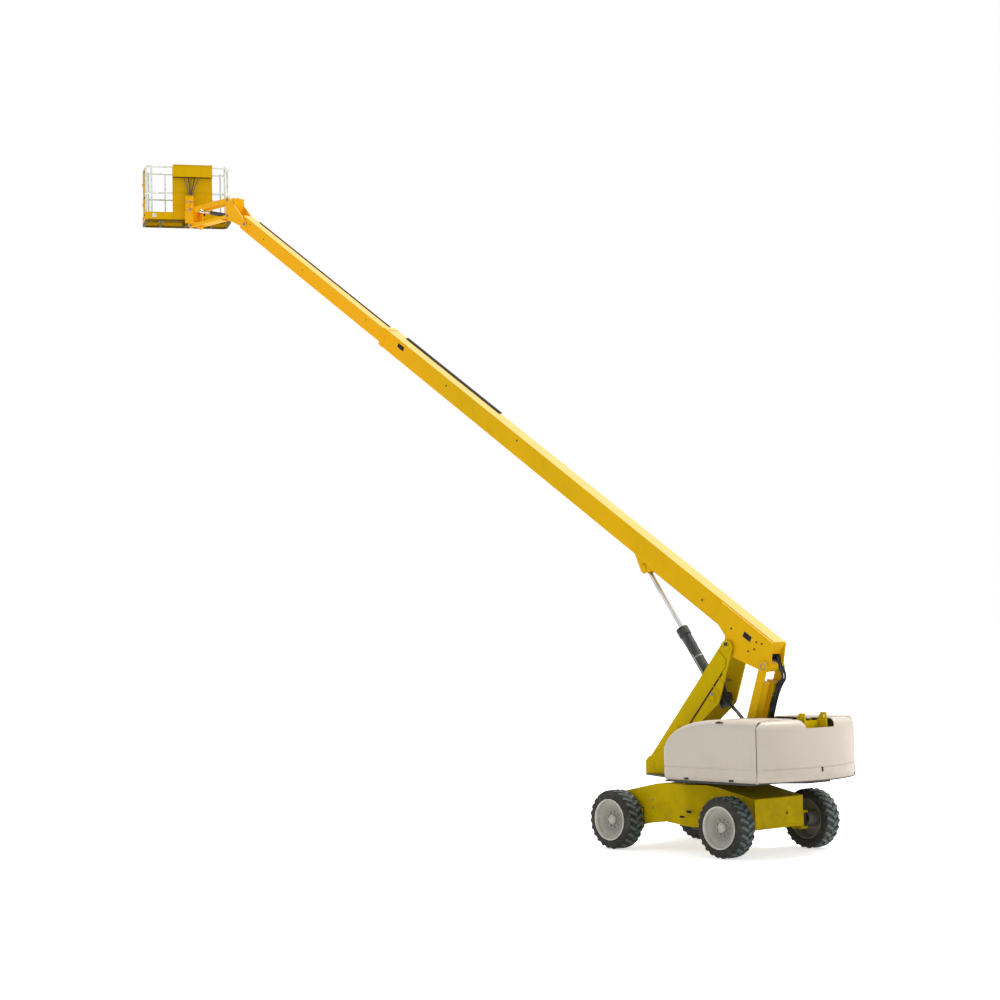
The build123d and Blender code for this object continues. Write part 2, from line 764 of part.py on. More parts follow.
# Rear link: a pair of bars from the turntable to the boom's tail
link_foot, link_head = (link_foot_x, link_foot_z), (link_head_x, link_head_z)
with BuildPart() as rear_link:
    with BuildSketch(Plane.XZ, mode=Mode.PRIVATE) as link_outline:
        with Locations(link_foot, link_head):
            Circle(link_end_radius)
        make_hull()
    side_pair(link_outline.sketch, arm_inner_y, arm_plate)
    cross_cylinder(*link_foot, pin_radius, wall_outer_y + side_gap)
rear_link.part.label = "rear_link"
export_step(rear_link.part, "parts/rear_link.step")

# Lift cylinder: barrel on the arm's boss, rod eye under the boom
cylinder_length = hypot(cylinder_head_x - cylinder_foot_x, cylinder_head_z - cylinder_foot_z)
gland_share = (gland_z - cylinder_foot_z) / (cylinder_head_z - cylinder_foot_z)
barrel_length = cylinder_length * gland_share
barrel_back_share = -barrel_tail / cylinder_length
bore_back_share = (barrel_cap - barrel_tail) / cylinder_length
with BuildPart() as lift_barrel:
    with BuildSketch(line_plane(cylinder_foot, cylinder_head, barrel_back_share)):
        Circle(barrel_radius)
    extrude(amount=barrel_tail + barrel_length)
    with BuildSketch(line_plane(cylinder_foot, cylinder_head, gland_share)):
        Circle(gland_radius)
    extrude(amount=-gland_length)
    cross_cylinder(*cylinder_foot, eye_radius, arm_inner_y - side_gap)
    with BuildSketch(line_plane(cylinder_foot, cylinder_head, bore_back_share)):
        Circle(rod_radius + rod_clearance)
    extrude(amount=cylinder_length, mode=Mode.SUBTRACT)
lift_barrel.part.label = "lift_barrel"
export_step(lift_barrel.part, "parts/lift_barrel.step")

with BuildPart() as lift_rod:
    with BuildSketch(line_plane(cylinder_foot, cylinder_head, rod_start / cylinder_length)):
        Circle(rod_radius)
    extrude(amount=cylinder_length - rod_start)
    cross_cylinder(*cylinder_head, eye_radius, eye_half)
    cross_cylinder(*cylinder_head, pin_radius + pin_gap, arm_inner_y, Mode.SUBTRACT)
lift_rod.part.label = "lift_rod"
export_step(lift_rod.part, "parts/lift_rod.step")

# Base boom: a rounded box tube with tail plates, a keel under its loaded end and the rod's bracket
base_middle = base_height / 2
arm_head_local = boom_local(*arm_head)
link_head_local = boom_local(*link_head)
rod_local = boom_local(*cylinder_head)
with BuildPart() as base_boom:
    with BuildSketch(boom_section(0, base_middle)):
        RectangleRounded(base_width, base_height, base_corner)
    extrude(amount=base_length)
    with BuildSketch(boom_section(0, base_height + keel_depth / 2 - base_wall / 2)):
        Rectangle(base_width - base_corner * 2, keel_depth + base_wall)
    extrude(amount=keel_length)
    with BuildSketch(boom_section(base_length - mouth_length, base_middle)):
        RectangleRounded(
            base_width + mouth_collar * 2, base_height + mouth_collar * 2, base_corner + mouth_collar,
        )
    extrude(amount=mouth_length)
    with BuildSketch(boom_section(-cut_overrun, base_middle)):
        RectangleRounded(
            base_width - base_wall * 2, base_height - base_wall * 2, base_corner - base_wall,
        )
    extrude(amount=base_length + cut_overrun * 2, mode=Mode.SUBTRACT)
    with BuildSketch(boom_section(-cut_overrun, base_height + keel_depth / 2)):
        Rectangle(base_width - base_corner * 2 - base_wall * 2, keel_depth - base_wall * 2)
    extrude(amount=keel_length + cut_overrun - base_wall, mode=Mode.SUBTRACT)
    # Tail plates, with bosses for the arm's head and the rear link
    for side in (-1, 1):
        with BuildSketch(boom_side.offset(side * base_width / 2)):
            with BuildLine():
                Polyline(
                    (0, -base_corner), (link_head_local[0] - boss_radius * 0.9, link_head_local[1] + boss_radius),
                    (link_head_local[0] - boss_radius, link_head_local[1] - boss_radius * 0.6),
                    (link_head_local[0], link_head_local[1] - boss_radius * 1.2),
                    (arm_head_local[0] - boss_radius, arm_head_local[1] - boss_radius * 1.2),
                    (arm_head_local[0] + boss_radius, arm_head_local[1] - boss_radius),
                    (arm_head_local[0] + boss_radius * 1.9, arm_head_local[1] + boss_radius * 1.5),
                    (arm_head_local[0] + boss_radius * 6, -base_height + base_corner),
                    (arm_head_local[0] + boss_radius * 6, -base_corner), close=True,
                )
            make_face()
        extrude(amount=side * tail_plate)
    cross_cylinder(*arm_head, boss_radius, arm_inner_y - side_gap)
    cross_cylinder(*link_head, boss_radius, arm_inner_y - side_gap)
    cross_cylinder(*arm_head, pin_radius + pin_gap, arm_inner_y * 2, Mode.SUBTRACT)
    # Bracket and pin for the rod's eye
    with BuildSketch(boom_side, mode=Mode.PRIVATE) as bracket_outline:
        with BuildLine():
            Polyline(
                (rod_local[0] - eye_radius * 3, -base_height - keel_depth + base_wall),
                (rod_local[0] - eye_radius, rod_local[1] - eye_radius * 0.4),
                (rod_local[0] - eye_radius * 0.4, rod_local[1] - eye_radius),
                (rod_local[0] + eye_radius * 0.6, rod_local[1] - eye_radius * 0.8),
                (rod_local[0] + eye_radius * 4.5, -base_height + base_wall / 2), 
                (rod_local[0] - eye_radius * 3, -base_height + base_wall / 2), close=True,
            )
        make_face()
    bracket_inner = eye_half + side_gap
    for y in (bracket_inner, -bracket_inner - bracket_plate):
        extrude(bracket_outline.sketch.moved(Location((0, y, 0))), amount=bracket_plate)
    cross_cylinder(*cylinder_head, pin_radius, bracket_inner + bracket_plate + side_gap * 2)
base_boom.part.label = "base_boom"
export_step(base_boom.part, "parts/base_boom.step")

# Wear pads inside the base boom's mouth, a hair off the fly boom
pad_start = base_length - pad_length - side_gap
pad_top = (base_height / 2 - base_wall - fly_height / 2 - pin_gap)
pad_side = (base_width / 2 - base_wall - fly_width / 2 - pin_gap)
with BuildPart() as wear_pads:
    for side in (-1, 1):
        with BuildSketch(boom_section(pad_start, base_middle)):
            with Locations((0, side * (fly_height / 2 + pin_gap + pad_top / 2))):
                Rectangle(fly_width - fly_corner * 5, pad_top)
            with Locations((side * (fly_width / 2 + pin_gap + pad_side / 2), 0)):
                Rectangle(pad_side, fly_height - fly_corner * 3)
        extrude(amount=pad_length)
wear_pads.part.label = "wear_pads"
export_step(wear_pads.part, "parts/wear_pads.step")

# Hose carrier on the base boom's top, and the hose that runs on along the fly boom
with BuildPart() as hose_carrier:
    with BuildSketch(boom_section(carrier_start, -pin_gap)):
        with Locations((-carrier_y, 0)):
            Rectangle(carrier_width, carrier_height, align=(Align.MAX, Align.MIN))
    extrude(amount=carrier_end - carrier_start)
hose_carrier.part.label = "hose_carrier"
export_step(hose_carrier.part, "parts/hose_carrier.step")

hose_below = base_middle - fly_height / 2 - hose_radius - pin_gap
with BuildPart() as fly_hose:
    with BuildSketch(boom_section(hose_start, hose_below)):
        with Locations((-hose_y, 0)):
            Circle(hose_radius)
    extrude(amount=hose_end - hose_start)
fly_hose.part.label = "fly_hose"
export_step(fly_hose.part, "parts/fly_hose.step")

# Fly boom, to the tip pivot
tip_x, tip_z = boom_point(tip_pivot_along, base_middle)
with BuildPart() as fly_boom:
    with BuildSketch(boom_section(fly_start, base_middle)):
        RectangleRounded(fly_width, fly_height, fly_corner)
        RectangleRounded(
            fly_width - fly_wall * 2, fly_height - fly_wall * 2, fly_corner - fly_wall, mode=Mode.SUBTRACT,
        )
    extrude(amount=fly_end - fly_start)
    cross_cylinder(tip_x, tip_z, boss_radius, fly_width / 2)
    cross_cylinder(tip_x, tip_z, jib_pin_radius + pin_gap, fly_width, Mode.SUBTRACT)
fly_boom.part.label = "fly_boom"
export_step(fly_boom.part, "parts/fly_boom.step")

# Tip head: two side plates and a cross box, kept level by its hidden slave cylinder
jib_foot_upper, jib_foot_lower = (jib_foot_x, jib_upper_z), (jib_foot_x, jib_lower_z)
jib_head_upper, jib_head_lower = (jib_head_x, jib_upper_z), (jib_head_x, jib_lower_z)
head_round = jib_eye_radius * 1.3
with BuildPart() as tip_head:
    with BuildSketch(Plane.XZ, mode=Mode.PRIVATE) as head_outline:
        with Locations((tip_x, tip_z), jib_foot_upper, jib_foot_lower):
            Circle(head_round)
        make_hull()
    side_pair(head_outline.sketch, head_inner_y, head_plate)
    with Locations((head_web_x, 0, (jib_upper_z + jib_lower_z) / 2)):
        Box(
            head_web_length, head_inner_y * 2, jib_upper_z - jib_lower_z,
            align=(Align.MIN, Align.CENTER, Align.CENTER),
        )
    cross_cylinder(tip_x, tip_z, jib_pin_radius, head_outer_y + side_gap)
    for foot in (jib_foot_upper, jib_foot_lower):
        cross_cylinder(*foot, jib_pin_radius, head_outer_y + side_gap)
tip_head.part.label = "tip_head"
export_step(tip_head.part, "parts/tip_head.step")

# Jib: a parallelogram of paired bars with a diagonal cylinder between them
jib_cylinder_head = (jib_cylinder_head_x, jib_cylinder_head_z)
jib_bar_pairs = (
    # name, height, depth, side of the cross plate, its start and length from the foot
    ("jib_upper", jib_upper_z, jib_upper_depth, 1, jib_upper_tie_start, jib_upper_tie_length),
    ("jib_lower", jib_lower_z, jib_lower_depth, -1, jib_lower_tie_start, jib_lower_tie_length),
)
for name, level_z, depth, face, tie_start, tie_length in jib_bar_pairs:
    with BuildPart() as jib_bars:
        with BuildSketch(Plane.XZ, mode=Mode.PRIVATE) as bar_outline:
            with Locations(((jib_foot_x + jib_head_x) / 2, level_z)):
                Rectangle(jib_foot_x - jib_head_x, depth)
            with Locations((jib_foot_x, level_z), (jib_head_x, level_z)):
                Circle(jib_eye_radius)
            if name == "jib_upper":
                with Locations(jib_cylinder_head):
                    Circle(jib_boss_radius)
        side_pair(bar_outline.sketch, jib_bar_inner, jib_bar)
        for x in (jib_foot_x, jib_head_x):
            cross_cylinder(x, level_z, jib_pin_radius + pin_gap, head_outer_y, Mode.SUBTRACT)
        # A cross plate ties the pair together, clear of the cylinder
        with Locations((jib_foot_x - tie_start - tie_length / 2, 0, level_z + face * (depth - fly_wall) / 2)):
            Box(tie_length, jib_bar_outer * 2, fly_wall)
    jib_bars.part.label = name
    export_step(jib_bars.part, f"parts/{name}.step")

jib_cylinder_length = hypot(jib_cylinder_head_x - jib_foot_x, jib_cylinder_head_z - jib_lower_z)
with BuildPart() as jib_barrel:
    with BuildSketch(line_plane(jib_foot_lower, jib_cylinder_head, jib_eye_radius * 0.7 / jib_cylinder_length)):
        Circle(jib_barrel_radius)
    extrude(amount=jib_cylinder_length * jib_barrel_share - jib_eye_radius * 0.7)
    cross_cylinder(*jib_foot_lower, jib_eye_radius, jib_bar_inner - side_gap)
    cross_cylinder(*jib_foot_lower, jib_pin_radius + pin_gap, head_outer_y, Mode.SUBTRACT)
    with BuildSketch(line_plane(jib_foot_lower, jib_cylinder_head, jib_eye_radius * 1.3 / jib_cylinder_length)):
        Circle(jib_rod_radius + rod_clearance)
    extrude(amount=jib_cylinder_length, mode=Mode.SUBTRACT)
jib_barrel.part.label = "jib_barrel"
export_step(jib_barrel.part, "parts/jib_barrel.step")

with BuildPart() as jib_rod:
    with BuildSketch(line_plane(jib_foot_lower, jib_cylinder_head, jib_rod_start_share)):
        Circle(jib_rod_radius)
    extrude(amount=jib_cylinder_length * (1 - jib_rod_start_share))
    cross_cylinder(*jib_cylinder_head, jib_pin_radius * 1.2, jib_eye_half)
jib_rod.part.label = "jib_rod"
export_step(jib_rod.part, "parts/jib_rod.step")

# Platform support: clevis plates for the jib and the rotary actuator
with BuildPart() as platform_support:
    with BuildSketch(Plane.XZ, mode=Mode.PRIVATE) as support_outline:
        with Locations(jib_head_upper, jib_head_lower):
            Circle(head_round)
        with Locations((support_back_x, (jib_upper_z + jib_lower_z) / 2)):
            Rectangle(head_plate * 2, jib_upper_z - jib_lower_z)
        make_hull()
    side_pair(support_outline.sketch, head_inner_y, head_plate)
    with Locations((support_back_x, 0, rotator_bottom_z + side_gap)):
        Box(
            support_back_x - rotator_x, head_inner_y * 2, jib_upper_z - rotator_bottom_z,
            align=(Align.MAX, Align.CENTER, Align.MIN),
        )
    with BuildSketch(Plane.XY.offset(rotator_bottom_z)):
        with Locations((rotator_x, 0)):
            Circle(rotator_radius)
    extrude(amount=rotator_top_z - rotator_bottom_z)
    for head in (jib_head_upper, jib_head_lower):
        cross_cylinder(*head, jib_pin_radius, head_outer_y + side_gap)
platform_support.part.label = "platform_support"
export_step(platform_support.part, "parts/platform_support.step")

# Platform: its own plane has x away from the boom and y across the platform
platform_dir = (-cos(radians(platform_angle)), -sin(radians(platform_angle)), 0)
platform_plane = Plane(origin=(rotator_x, 0, 0), x_dir=platform_dir, z_dir=(0, 0, 1))
near_x = platform_offset
far_x = platform_offset + platform_depth
half_w = platform_width / 2
corner = platform_corner
gate_y = half_w - rail_radius


def platform_ring(inset):
    """Chamfered outline of the platform, inset by the given amount."""
    near, far, half = near_x + inset, far_x - inset, half_w - inset
    cut = corner - inset * 0.4
    with BuildLine() as ring:
        Polyline(
            (near + cut, -half), (far - cut, -half), (far, -half + cut), (far, half - cut),
            (far - cut, half), (near + cut, half), (near, half - cut), (near, -half + cut), close=True,
        )
    return ring.line


with BuildPart() as platform_floor:
    with BuildSketch(platform_plane.offset(floor_bottom_z)):
        with BuildLine():
            add(platform_ring(0))
        make_face()
    extrude(amount=floor_top_z - floor_bottom_z)
    with BuildSketch(platform_plane.offset(floor_bottom_z)):
        with BuildLine():
            add(platform_ring(floor_beam_width))
        make_face()
    extrude(amount=floor_top_z - floor_bottom_z - deck_thick, mode=Mode.SUBTRACT)
    with BuildSketch(platform_plane.offset(floor_bottom_z)):
        for share in (-0.3, 0, 0.3):
            with Locations(((near_x + far_x) / 2, platform_width * share)):
                Rectangle(platform_depth - floor_beam_width, floor_beam_width)
    extrude(amount=floor_top_z - floor_bottom_z)
    # Toe boards round the deck, open at the gate
    with BuildSketch(platform_plane.offset(floor_top_z)):
        with BuildLine():
            add(platform_ring(0))
        make_face()
        with BuildLine():
            add(platform_ring(toe_thick))
        make_face(mode=Mode.SUBTRACT)
        with Locations(((near_x + far_x) / 2, half_w)):
            Rectangle(gate_width, toe_thick * 4, mode=Mode.SUBTRACT)
    extrude(amount=toe_height - floor_top_z + floor_bottom_z)
platform_floor.part.label = "platform_floor"
export_step(platform_floor.part, "parts/platform_floor.step")

rail_in = rail_radius + toe_thick
gate_mid_x = (near_x + far_x) / 2
gate_start = gate_mid_x - gate_width / 2 - post_radius
gate_end = gate_mid_x + gate_width / 2 + post_radius
near_r, far_r, half_r = near_x + rail_in, far_x - rail_in, half_w - rail_in
with BuildPart() as platform_rails:
    for level in (rail_mid_z, rail_top_z - rail_radius):
        with BuildLine(platform_plane.offset(level)) as rail_path:
            FilletPolyline(
                (gate_start, half_r), (near_r, half_r), (near_r, -half_r), (far_r, -half_r),
                (far_r, half_r), (gate_end, half_r), radius=rail_bend,
            )
        start = rail_path.line @ 0
        with BuildSketch(Plane(origin=start, z_dir=rail_path.line % 0)):
            Circle(rail_radius)
        sweep(path=rail_path.line)
    post_places = (
        (gate_start, half_r), (gate_end, half_r),
        (near_r, half_r - rail_bend), (near_r, -half_r + rail_bend),
        (far_r, half_r - rail_bend), (far_r, -half_r + rail_bend),
        (gate_mid_x, -half_r), (far_r, 0),
    )
    with BuildSketch(platform_plane.offset(floor_top_z)):
        with Locations(*post_places):
            Circle(post_radius)
    extrude(amount=rail_top_z - rail_radius - floor_top_z)
platform_rails.part.label = "platform_rails"
export_step(platform_rails.part, "parts/platform_rails.step")

# Console housing on the boom side, with the mounting bracket that clamps the actuator
with BuildPart(platform_plane) as console:
    with Locations((near_x - console_plate - pin_gap, console_shift, floor_bottom_z)):
        Box(
            console_plate, console_width, rail_top_z - floor_bottom_z,
            align=(Align.MIN, Align.CENTER, Align.MIN),
        )
    with Locations((near_x - console_plate - pin_gap, console_shift, rail_top_z - console_box_height)):
        Box(
            console_box_depth, console_width, console_box_height,
            align=(Align.MAX, Align.CENTER, Align.MIN),
        )
console.part.label = "console"
export_step(console.part, "parts/console.step")

arm_length = near_x - console_plate - pin_gap
with BuildPart(platform_plane) as platform_bracket:
    for level in (rotator_top_z + pin_gap, rotator_bottom_z - pin_gap - bracket_arm):
        with Locations((0, 0, level)):
            Cylinder(
                rotator_radius, bracket_arm, align=(Align.CENTER, Align.CENTER, Align.MIN),
            )
            Box(
                arm_length, rotator_radius * 2, bracket_arm,
                align=(Align.MIN, Align.CENTER, Align.MIN),
            )
    with Locations((arm_length, 0, rotator_bottom_z - pin_gap - bracket_arm)):
        Box(
            bracket_arm, rotator_radius * 3,
            rotator_top_z - rotator_bottom_z + (bracket_arm + pin_gap) * 2,
            align=(Align.MAX, Align.CENTER, Align.MIN),
        )
platform_bracket.part.label = "platform_bracket"
export_step(platform_bracket.part, "parts/platform_bracket.step")

# Gate in the platform's far short side, hinged on its post
hinge_y = half_r
with BuildPart(platform_plane) as gate:
    bar = gate_width - gate_gap * 2
    for level in (floor_top_z + toe_height * 0.6, rail_mid_z, rail_top_z - rail_radius):
        with Locations((gate_mid_x, hinge_y, level)):
            Box(bar, rail_radius * 1.6, rail_radius * 1.6)
    for side in (-1, 1):
        with Locations((gate_mid_x + side * (bar / 2 - rail_radius * 0.8), hinge_y, floor_top_z + gate_gap)):
            Box(
                rail_radius * 1.6, rail_radius * 1.6, rail_top_z - floor_top_z - gate_gap - rail_radius * 0.2,
                align=(Align.CENTER, Align.CENTER, Align.MIN),
            )
    # Hinge rings round the post
    for level in ((toe_height + floor_top_z + rail_mid_z) / 2, (rail_mid_z + rail_top_z) / 2):
        with Locations((gate_end, hinge_y, level)):
            Cylinder(post_radius + pin_gap + hinge_wall, hinge_height)
    with Locations((gate_end, hinge_y, rail_mid_z)):
        Cylinder(post_radius + pin_gap, rail_top_z - floor_bottom_z, mode=Mode.SUBTRACT)
gate.part.label = "gate"
export_step(gate.part, "parts/gate.step")
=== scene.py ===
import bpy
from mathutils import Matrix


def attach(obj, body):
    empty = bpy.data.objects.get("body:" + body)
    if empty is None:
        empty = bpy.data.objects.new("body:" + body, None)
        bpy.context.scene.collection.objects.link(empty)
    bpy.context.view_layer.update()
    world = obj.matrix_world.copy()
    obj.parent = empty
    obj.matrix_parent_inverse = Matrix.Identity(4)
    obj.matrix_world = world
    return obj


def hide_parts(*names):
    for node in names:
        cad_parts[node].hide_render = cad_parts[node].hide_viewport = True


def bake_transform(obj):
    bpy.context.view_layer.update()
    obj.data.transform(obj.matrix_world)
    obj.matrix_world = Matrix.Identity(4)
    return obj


bl_info = {
    "name": "Telescopic boom lift",
    "version": (1, 0, 0),
    "blender": (4, 5, 0),
    "location": "3D View > Sidebar > Boom lift",
    "description": "Dresses the packed boom lift with its finishes, treads, hoses and small fittings",
    "category": "Object",
}

from math import asin, cos, hypot, pi, radians, sin
from types import SimpleNamespace

import bmesh
import bpy
from bpy.props import FloatProperty, FloatVectorProperty, IntProperty, PointerProperty
from bpy.types import Operator, Panel, PropertyGroup
from mathutils import Matrix, Vector

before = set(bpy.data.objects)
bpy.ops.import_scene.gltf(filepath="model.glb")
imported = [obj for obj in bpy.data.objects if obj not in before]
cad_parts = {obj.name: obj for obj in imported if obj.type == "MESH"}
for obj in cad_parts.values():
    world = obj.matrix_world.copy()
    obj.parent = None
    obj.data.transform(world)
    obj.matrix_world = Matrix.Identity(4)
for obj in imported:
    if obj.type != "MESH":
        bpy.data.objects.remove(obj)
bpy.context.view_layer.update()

BOOM_ANGLE = radians(32.1)
TAIL = Vector((1.610, 0, 3.530))
ALONG = Vector((-cos(BOOM_ANGLE), 0, sin(BOOM_ANGLE)))
DOWN = Vector((-sin(BOOM_ANGLE), 0, -cos(BOOM_ANGLE)))
FORWARD, ACROSS, UP = Vector((1, 0, 0)), Vector((0, 1, 0)), Vector((0, 0, 1))
BOOM_AXES = Matrix((ALONG, ACROSS, -DOWN)).transposed()
PLATFORM_ANGLE = radians(-28)
ROTATOR = Vector((-15.830, 0, 0))
PLATFORM_AXES = Matrix.Rotation(pi + PLATFORM_ANGLE, 3, "Z")
WHEELS = {
    "fixed_left": (-1.280, -1), "fixed_right": (-1.280, 1),
    "steer_left": (1.280, -1), "steer_right": (1.280, 1),
}
AXLE_Z = 0.5075
TYRE_RADIUS = 0.5070
WHEEL_Y = 1.070

# Pins of the lift linkage, the boom's tip pivot in X and Z and the tie-down holes in Y and Z
ARM_FOOT, ARM_HEAD = Vector((-1.20, 0, 1.42)), Vector((0.60, 0, 3.44))
LINK_FOOT, LINK_HEAD = Vector((0.81, 0, 1.38)), Vector((1.42, 0, 3.12))
BARREL_PIN, ROD_PIN = Vector((0.25, 0, 2.59)), Vector((-1.46, 0, 4.845))
TIP_PIVOT = (-13.484, 12.7765)
TIE_DOWN = (0.19, 0.67)

# Where the boom's paint turns warmer along X, and where painted shade darkens the rims' dish along Y
WARM_X = (-9.6, -5.5)
RIM_DISH_SHADE_Y = (1.14, 1.236)
WHITE = (1, 1, 1, 1)


def tone(red, green, blue):
    """Linear colour of a screen colour in 0 to 255."""
    return tuple(((c / 255 + 0.055) / 1.055) ** 2.4 if c > 10 else c / 255 / 12.92 for c in (red, green, blue))


# Pale peach of the painted highlight on upward-facing faces
SUNLIT = tone(250, 206, 150)


def colour(name, about, value):
    return FloatVectorProperty(
        name=name, description=about, default=value, subtype="COLOR", min=0, max=1, size=3
    )


def size(name, about, value):
    return FloatProperty(name=name, description=about, default=value, min=0, unit="LENGTH", precision=4)


class LiftFinishes(PropertyGroup):
    """Colours of the machine's finishes."""

    yellow: colour("Boom paint", "Yellow paint of the boom and arm", tone(212, 170, 0))
    yellow_pale: colour("Sunned paint", "Faded tone of the yellow paint", tone(222, 174, 0))
    warm: colour("Fly paint", "Warmer yellow of the fly boom and the jib", tone(240, 174, 12))
    olive: colour("Chassis paint", "Duller yellow of the chassis and turntable", tone(192, 168, 0))
    olive_pale: colour("Chassis wear", "Paler tone of the chassis paint", tone(200, 172, 0))
    cover: colour("Cover grey", "Warm light grey of the moulded covers", tone(197, 189, 179))
    rim: colour("Rim grey", "Paint of the wheel rims", tone(206, 208, 198))
    dark: colour("Dark paint", "Dark paint of the cylinder barrels and axles", tone(46, 48, 50))
    rubber: colour("Tyre rubber", "Weathered rubber of the tyres", tone(38, 36, 32))
    dust: colour("Dust", "Dry dust that gathers low on the machine", tone(150, 138, 116))
    grime: colour("Grime", "Oily dirt in the corners", tone(92, 74, 22))
    zinc: colour("Zinc", "Galvanised steel of the rails and fasteners", tone(222, 230, 226))
    hose: colour("Hose", "Black hose jackets", tone(24, 24, 25))


class LiftSizes(PropertyGroup):
    """Sizes of the small fittings."""

    lug_height: size("Lug height", "Depth of the tyre's tread lugs", 0.016)
    lug_width: size("Lug width", "Thickness of one tread lug", 0.060)
    lug_count: IntProperty(name="Lugs", description="Lugs on each side of the tread", default=24, min=6)
    wheel_nut: size("Wheel nut", "Width across a wheel nut", 0.028)
    bolt: size("Bolt", "Width across a frame bolt's head", 0.026)
    hose: size("Hose radius", "Radius of a hydraulic hose", 0.014)
    weld: size("Weld", "Radius of a weld bead", 0.006)


class LiftStage(PropertyGroup):
    """Lights and floor."""

    sun: FloatProperty(name="Key light", description="Strength of the key light", default=3.0, min=0)
    fill: FloatProperty(name="Fill light", description="Strength of the surrounding light", default=0.74, min=0)
    floor_side: size("Floor", "Side of the floor", 400.0)


# Materials
def feed(tree, node, inputs):
    """Sets a node's inputs, or links them where a socket is given."""
    for key, value in inputs.items():
        if isinstance(value, bpy.types.NodeSocket):
            tree.links.new(value, node.inputs[key])
        else:
            node.inputs[key].default_value = value


def add_node(tree, kind, inputs=None, **settings):
    node = tree.nodes.new("ShaderNode" + kind)
    for name, value in settings.items():
        setattr(node, name, value)
    feed(tree, node, inputs or {})
    return node


def new_material(name):
    material = bpy.data.materials.new(name)
    material.use_nodes = True
    tree = material.node_tree
    place = add_node(tree, "TexCoord").outputs["Object"]
    return material, tree, tree.nodes["Principled BSDF"], place


def noise(tree, source, scale, detail=4.0, roughness=0.55):
    inputs = {"Vector": source, "Scale": scale, "Detail": detail, "Roughness": roughness}
    return add_node(tree, "TexNoise", inputs).outputs["Fac"]


def ramp(tree, source, low, high, low_value=0.0, high_value=1.0):
    inputs = {"Value": source, "From Min": low, "From Max": high, "To Min": low_value, "To Max": high_value}
    return add_node(tree, "MapRange", inputs, interpolation_type="SMOOTHSTEP").outputs["Result"]


def blend_colour(tree, share, first, second):
    ends = [v if isinstance(v, bpy.types.NodeSocket) else (*v, 1) for v in (first, second)]
    inputs = {"Factor": share, "A": ends[0], "B": ends[1]}
    return add_node(tree, "Mix", inputs, data_type="RGBA").outputs["Result"]


def combine(tree, first, second, operation="MULTIPLY"):
    return add_node(tree, "Math", {0: first, 1: second}, operation=operation).outputs[0]


def bump(tree, height, strength, distance, shader):
    inputs = {"Strength": strength, "Distance": distance, "Height": height}
    feed(tree, shader, {"Normal": add_node(tree, "Bump", inputs).outputs["Normal"]})


def shaded(base, share):
    return tuple(c * share for c in base)


def weathered(
    name, base, faded, dirt_and_shade, low_dirt_and_shade_band, low_dirt_and_shade_share, rough, grain,
    gloss=0.28, coat=0.0, streak=1.0, patchy=True, underside_painted_shade=0.0, top_painted_highlight=0.0, tip=None,
):
    """Painted or moulded finish: tone drift, rain streaks, a low band of dust (painted shade under the
    platform's deck), painted shade on downward faces, a painted highlight on upward faces and a fine surface
    grain.
    """
    material, tree, shader, place = new_material(name)
    body = blend_colour(tree, ramp(tree, noise(tree, place, 0.7, 3), 0.35, 0.7), base, faded)
    parts = add_node(tree, "SeparateXYZ", {"Vector": place})
    if tip:
        body = blend_colour(tree, ramp(tree, parts.outputs["X"], *WARM_X, 1, 0), body, tip)
    stretched = add_node(tree, "Mapping", {"Scale": (9, 9, 0.9), "Vector": place})
    streaks = noise(tree, stretched.outputs["Vector"], 1.0, 6, 0.6)
    body = blend_colour(tree, ramp(tree, streaks, 0.52, 0.80, 0, 0.35 * streak), body, dirt_and_shade)
    # Low band darkened towards the dirt colour: real dust on most finishes, painted shade under the platform's
    # deck
    low = ramp(tree, parts.outputs["Z"], *low_dirt_and_shade_band, 1, 0)
    patches = ramp(tree, noise(tree, place, 5.5, 8, 0.62), 0.38, 0.66) if patchy else 1.0
    dust = combine(tree, combine(tree, low, patches), low_dirt_and_shade_share)
    body = blend_colour(tree, dust, body, dirt_and_shade)
    normal = add_node(tree, "NewGeometry").outputs["True Normal"]
    facing = add_node(tree, "SeparateXYZ", {"Vector": normal}).outputs["Z"]
    # Painted shade: downward-facing faces darken towards the dirt colour
    body = blend_colour(tree, ramp(tree, facing, -0.9, -0.5, underside_painted_shade, 0), body, dirt_and_shade)
    # Painted highlight: upward-facing faces blend towards a pale peach
    body = blend_colour(tree, ramp(tree, facing, 0.55, 0.8, 0, top_painted_highlight), body, SUNLIT)
    feed(tree, shader, {
        "Base Color": body,
        "Roughness": ramp(tree, noise(tree, place, 14, 6, 0.6), 0.3, 0.75, rough - 0.08, rough + 0.14),
        "Specular IOR Level": gloss, "Coat Weight": coat, "Coat Roughness": 0.25,
    })
    bump(tree, noise(tree, place, grain, 3), 0.12, 0.002, shader)
    return material


def steel(name, base, rough, scale, metallic=1.0):
    """Bare or zinc-coated steel, with a cloudy finish."""
    material, tree, shader, place = new_material(name)
    clouds = noise(tree, place, scale, 6, 0.6)
    feed(tree, shader, {
        "Base Color": blend_colour(tree, ramp(tree, clouds, 0.35, 0.7), base, shaded(base, 0.72)),
        "Roughness": ramp(tree, clouds, 0.3, 0.7, rough, rough + 0.15), "Metallic": metallic,
    })
    bump(tree, noise(tree, place, scale * 9, 2), 0.08, 0.001, shader)
    return material


def rubber(name, base, dust, rough):
    """Weathered rubber, greyer with dust where it has worn."""
    material, tree, shader, place = new_material(name)
    worn = ramp(tree, noise(tree, place, 9, 8, 0.65), 0.42, 0.72, 0.0, 0.42)
    feed(tree, shader, {
        "Base Color": blend_colour(tree, worn, base, dust),
        "Roughness": ramp(tree, noise(tree, place, 25, 4), 0.3, 0.7, rough - 0.1, rough + 0.08),
        "Specular IOR Level": 0.35,
    })
    bump(tree, noise(tree, place, 160, 3), 0.25, 0.002, shader)
    return material


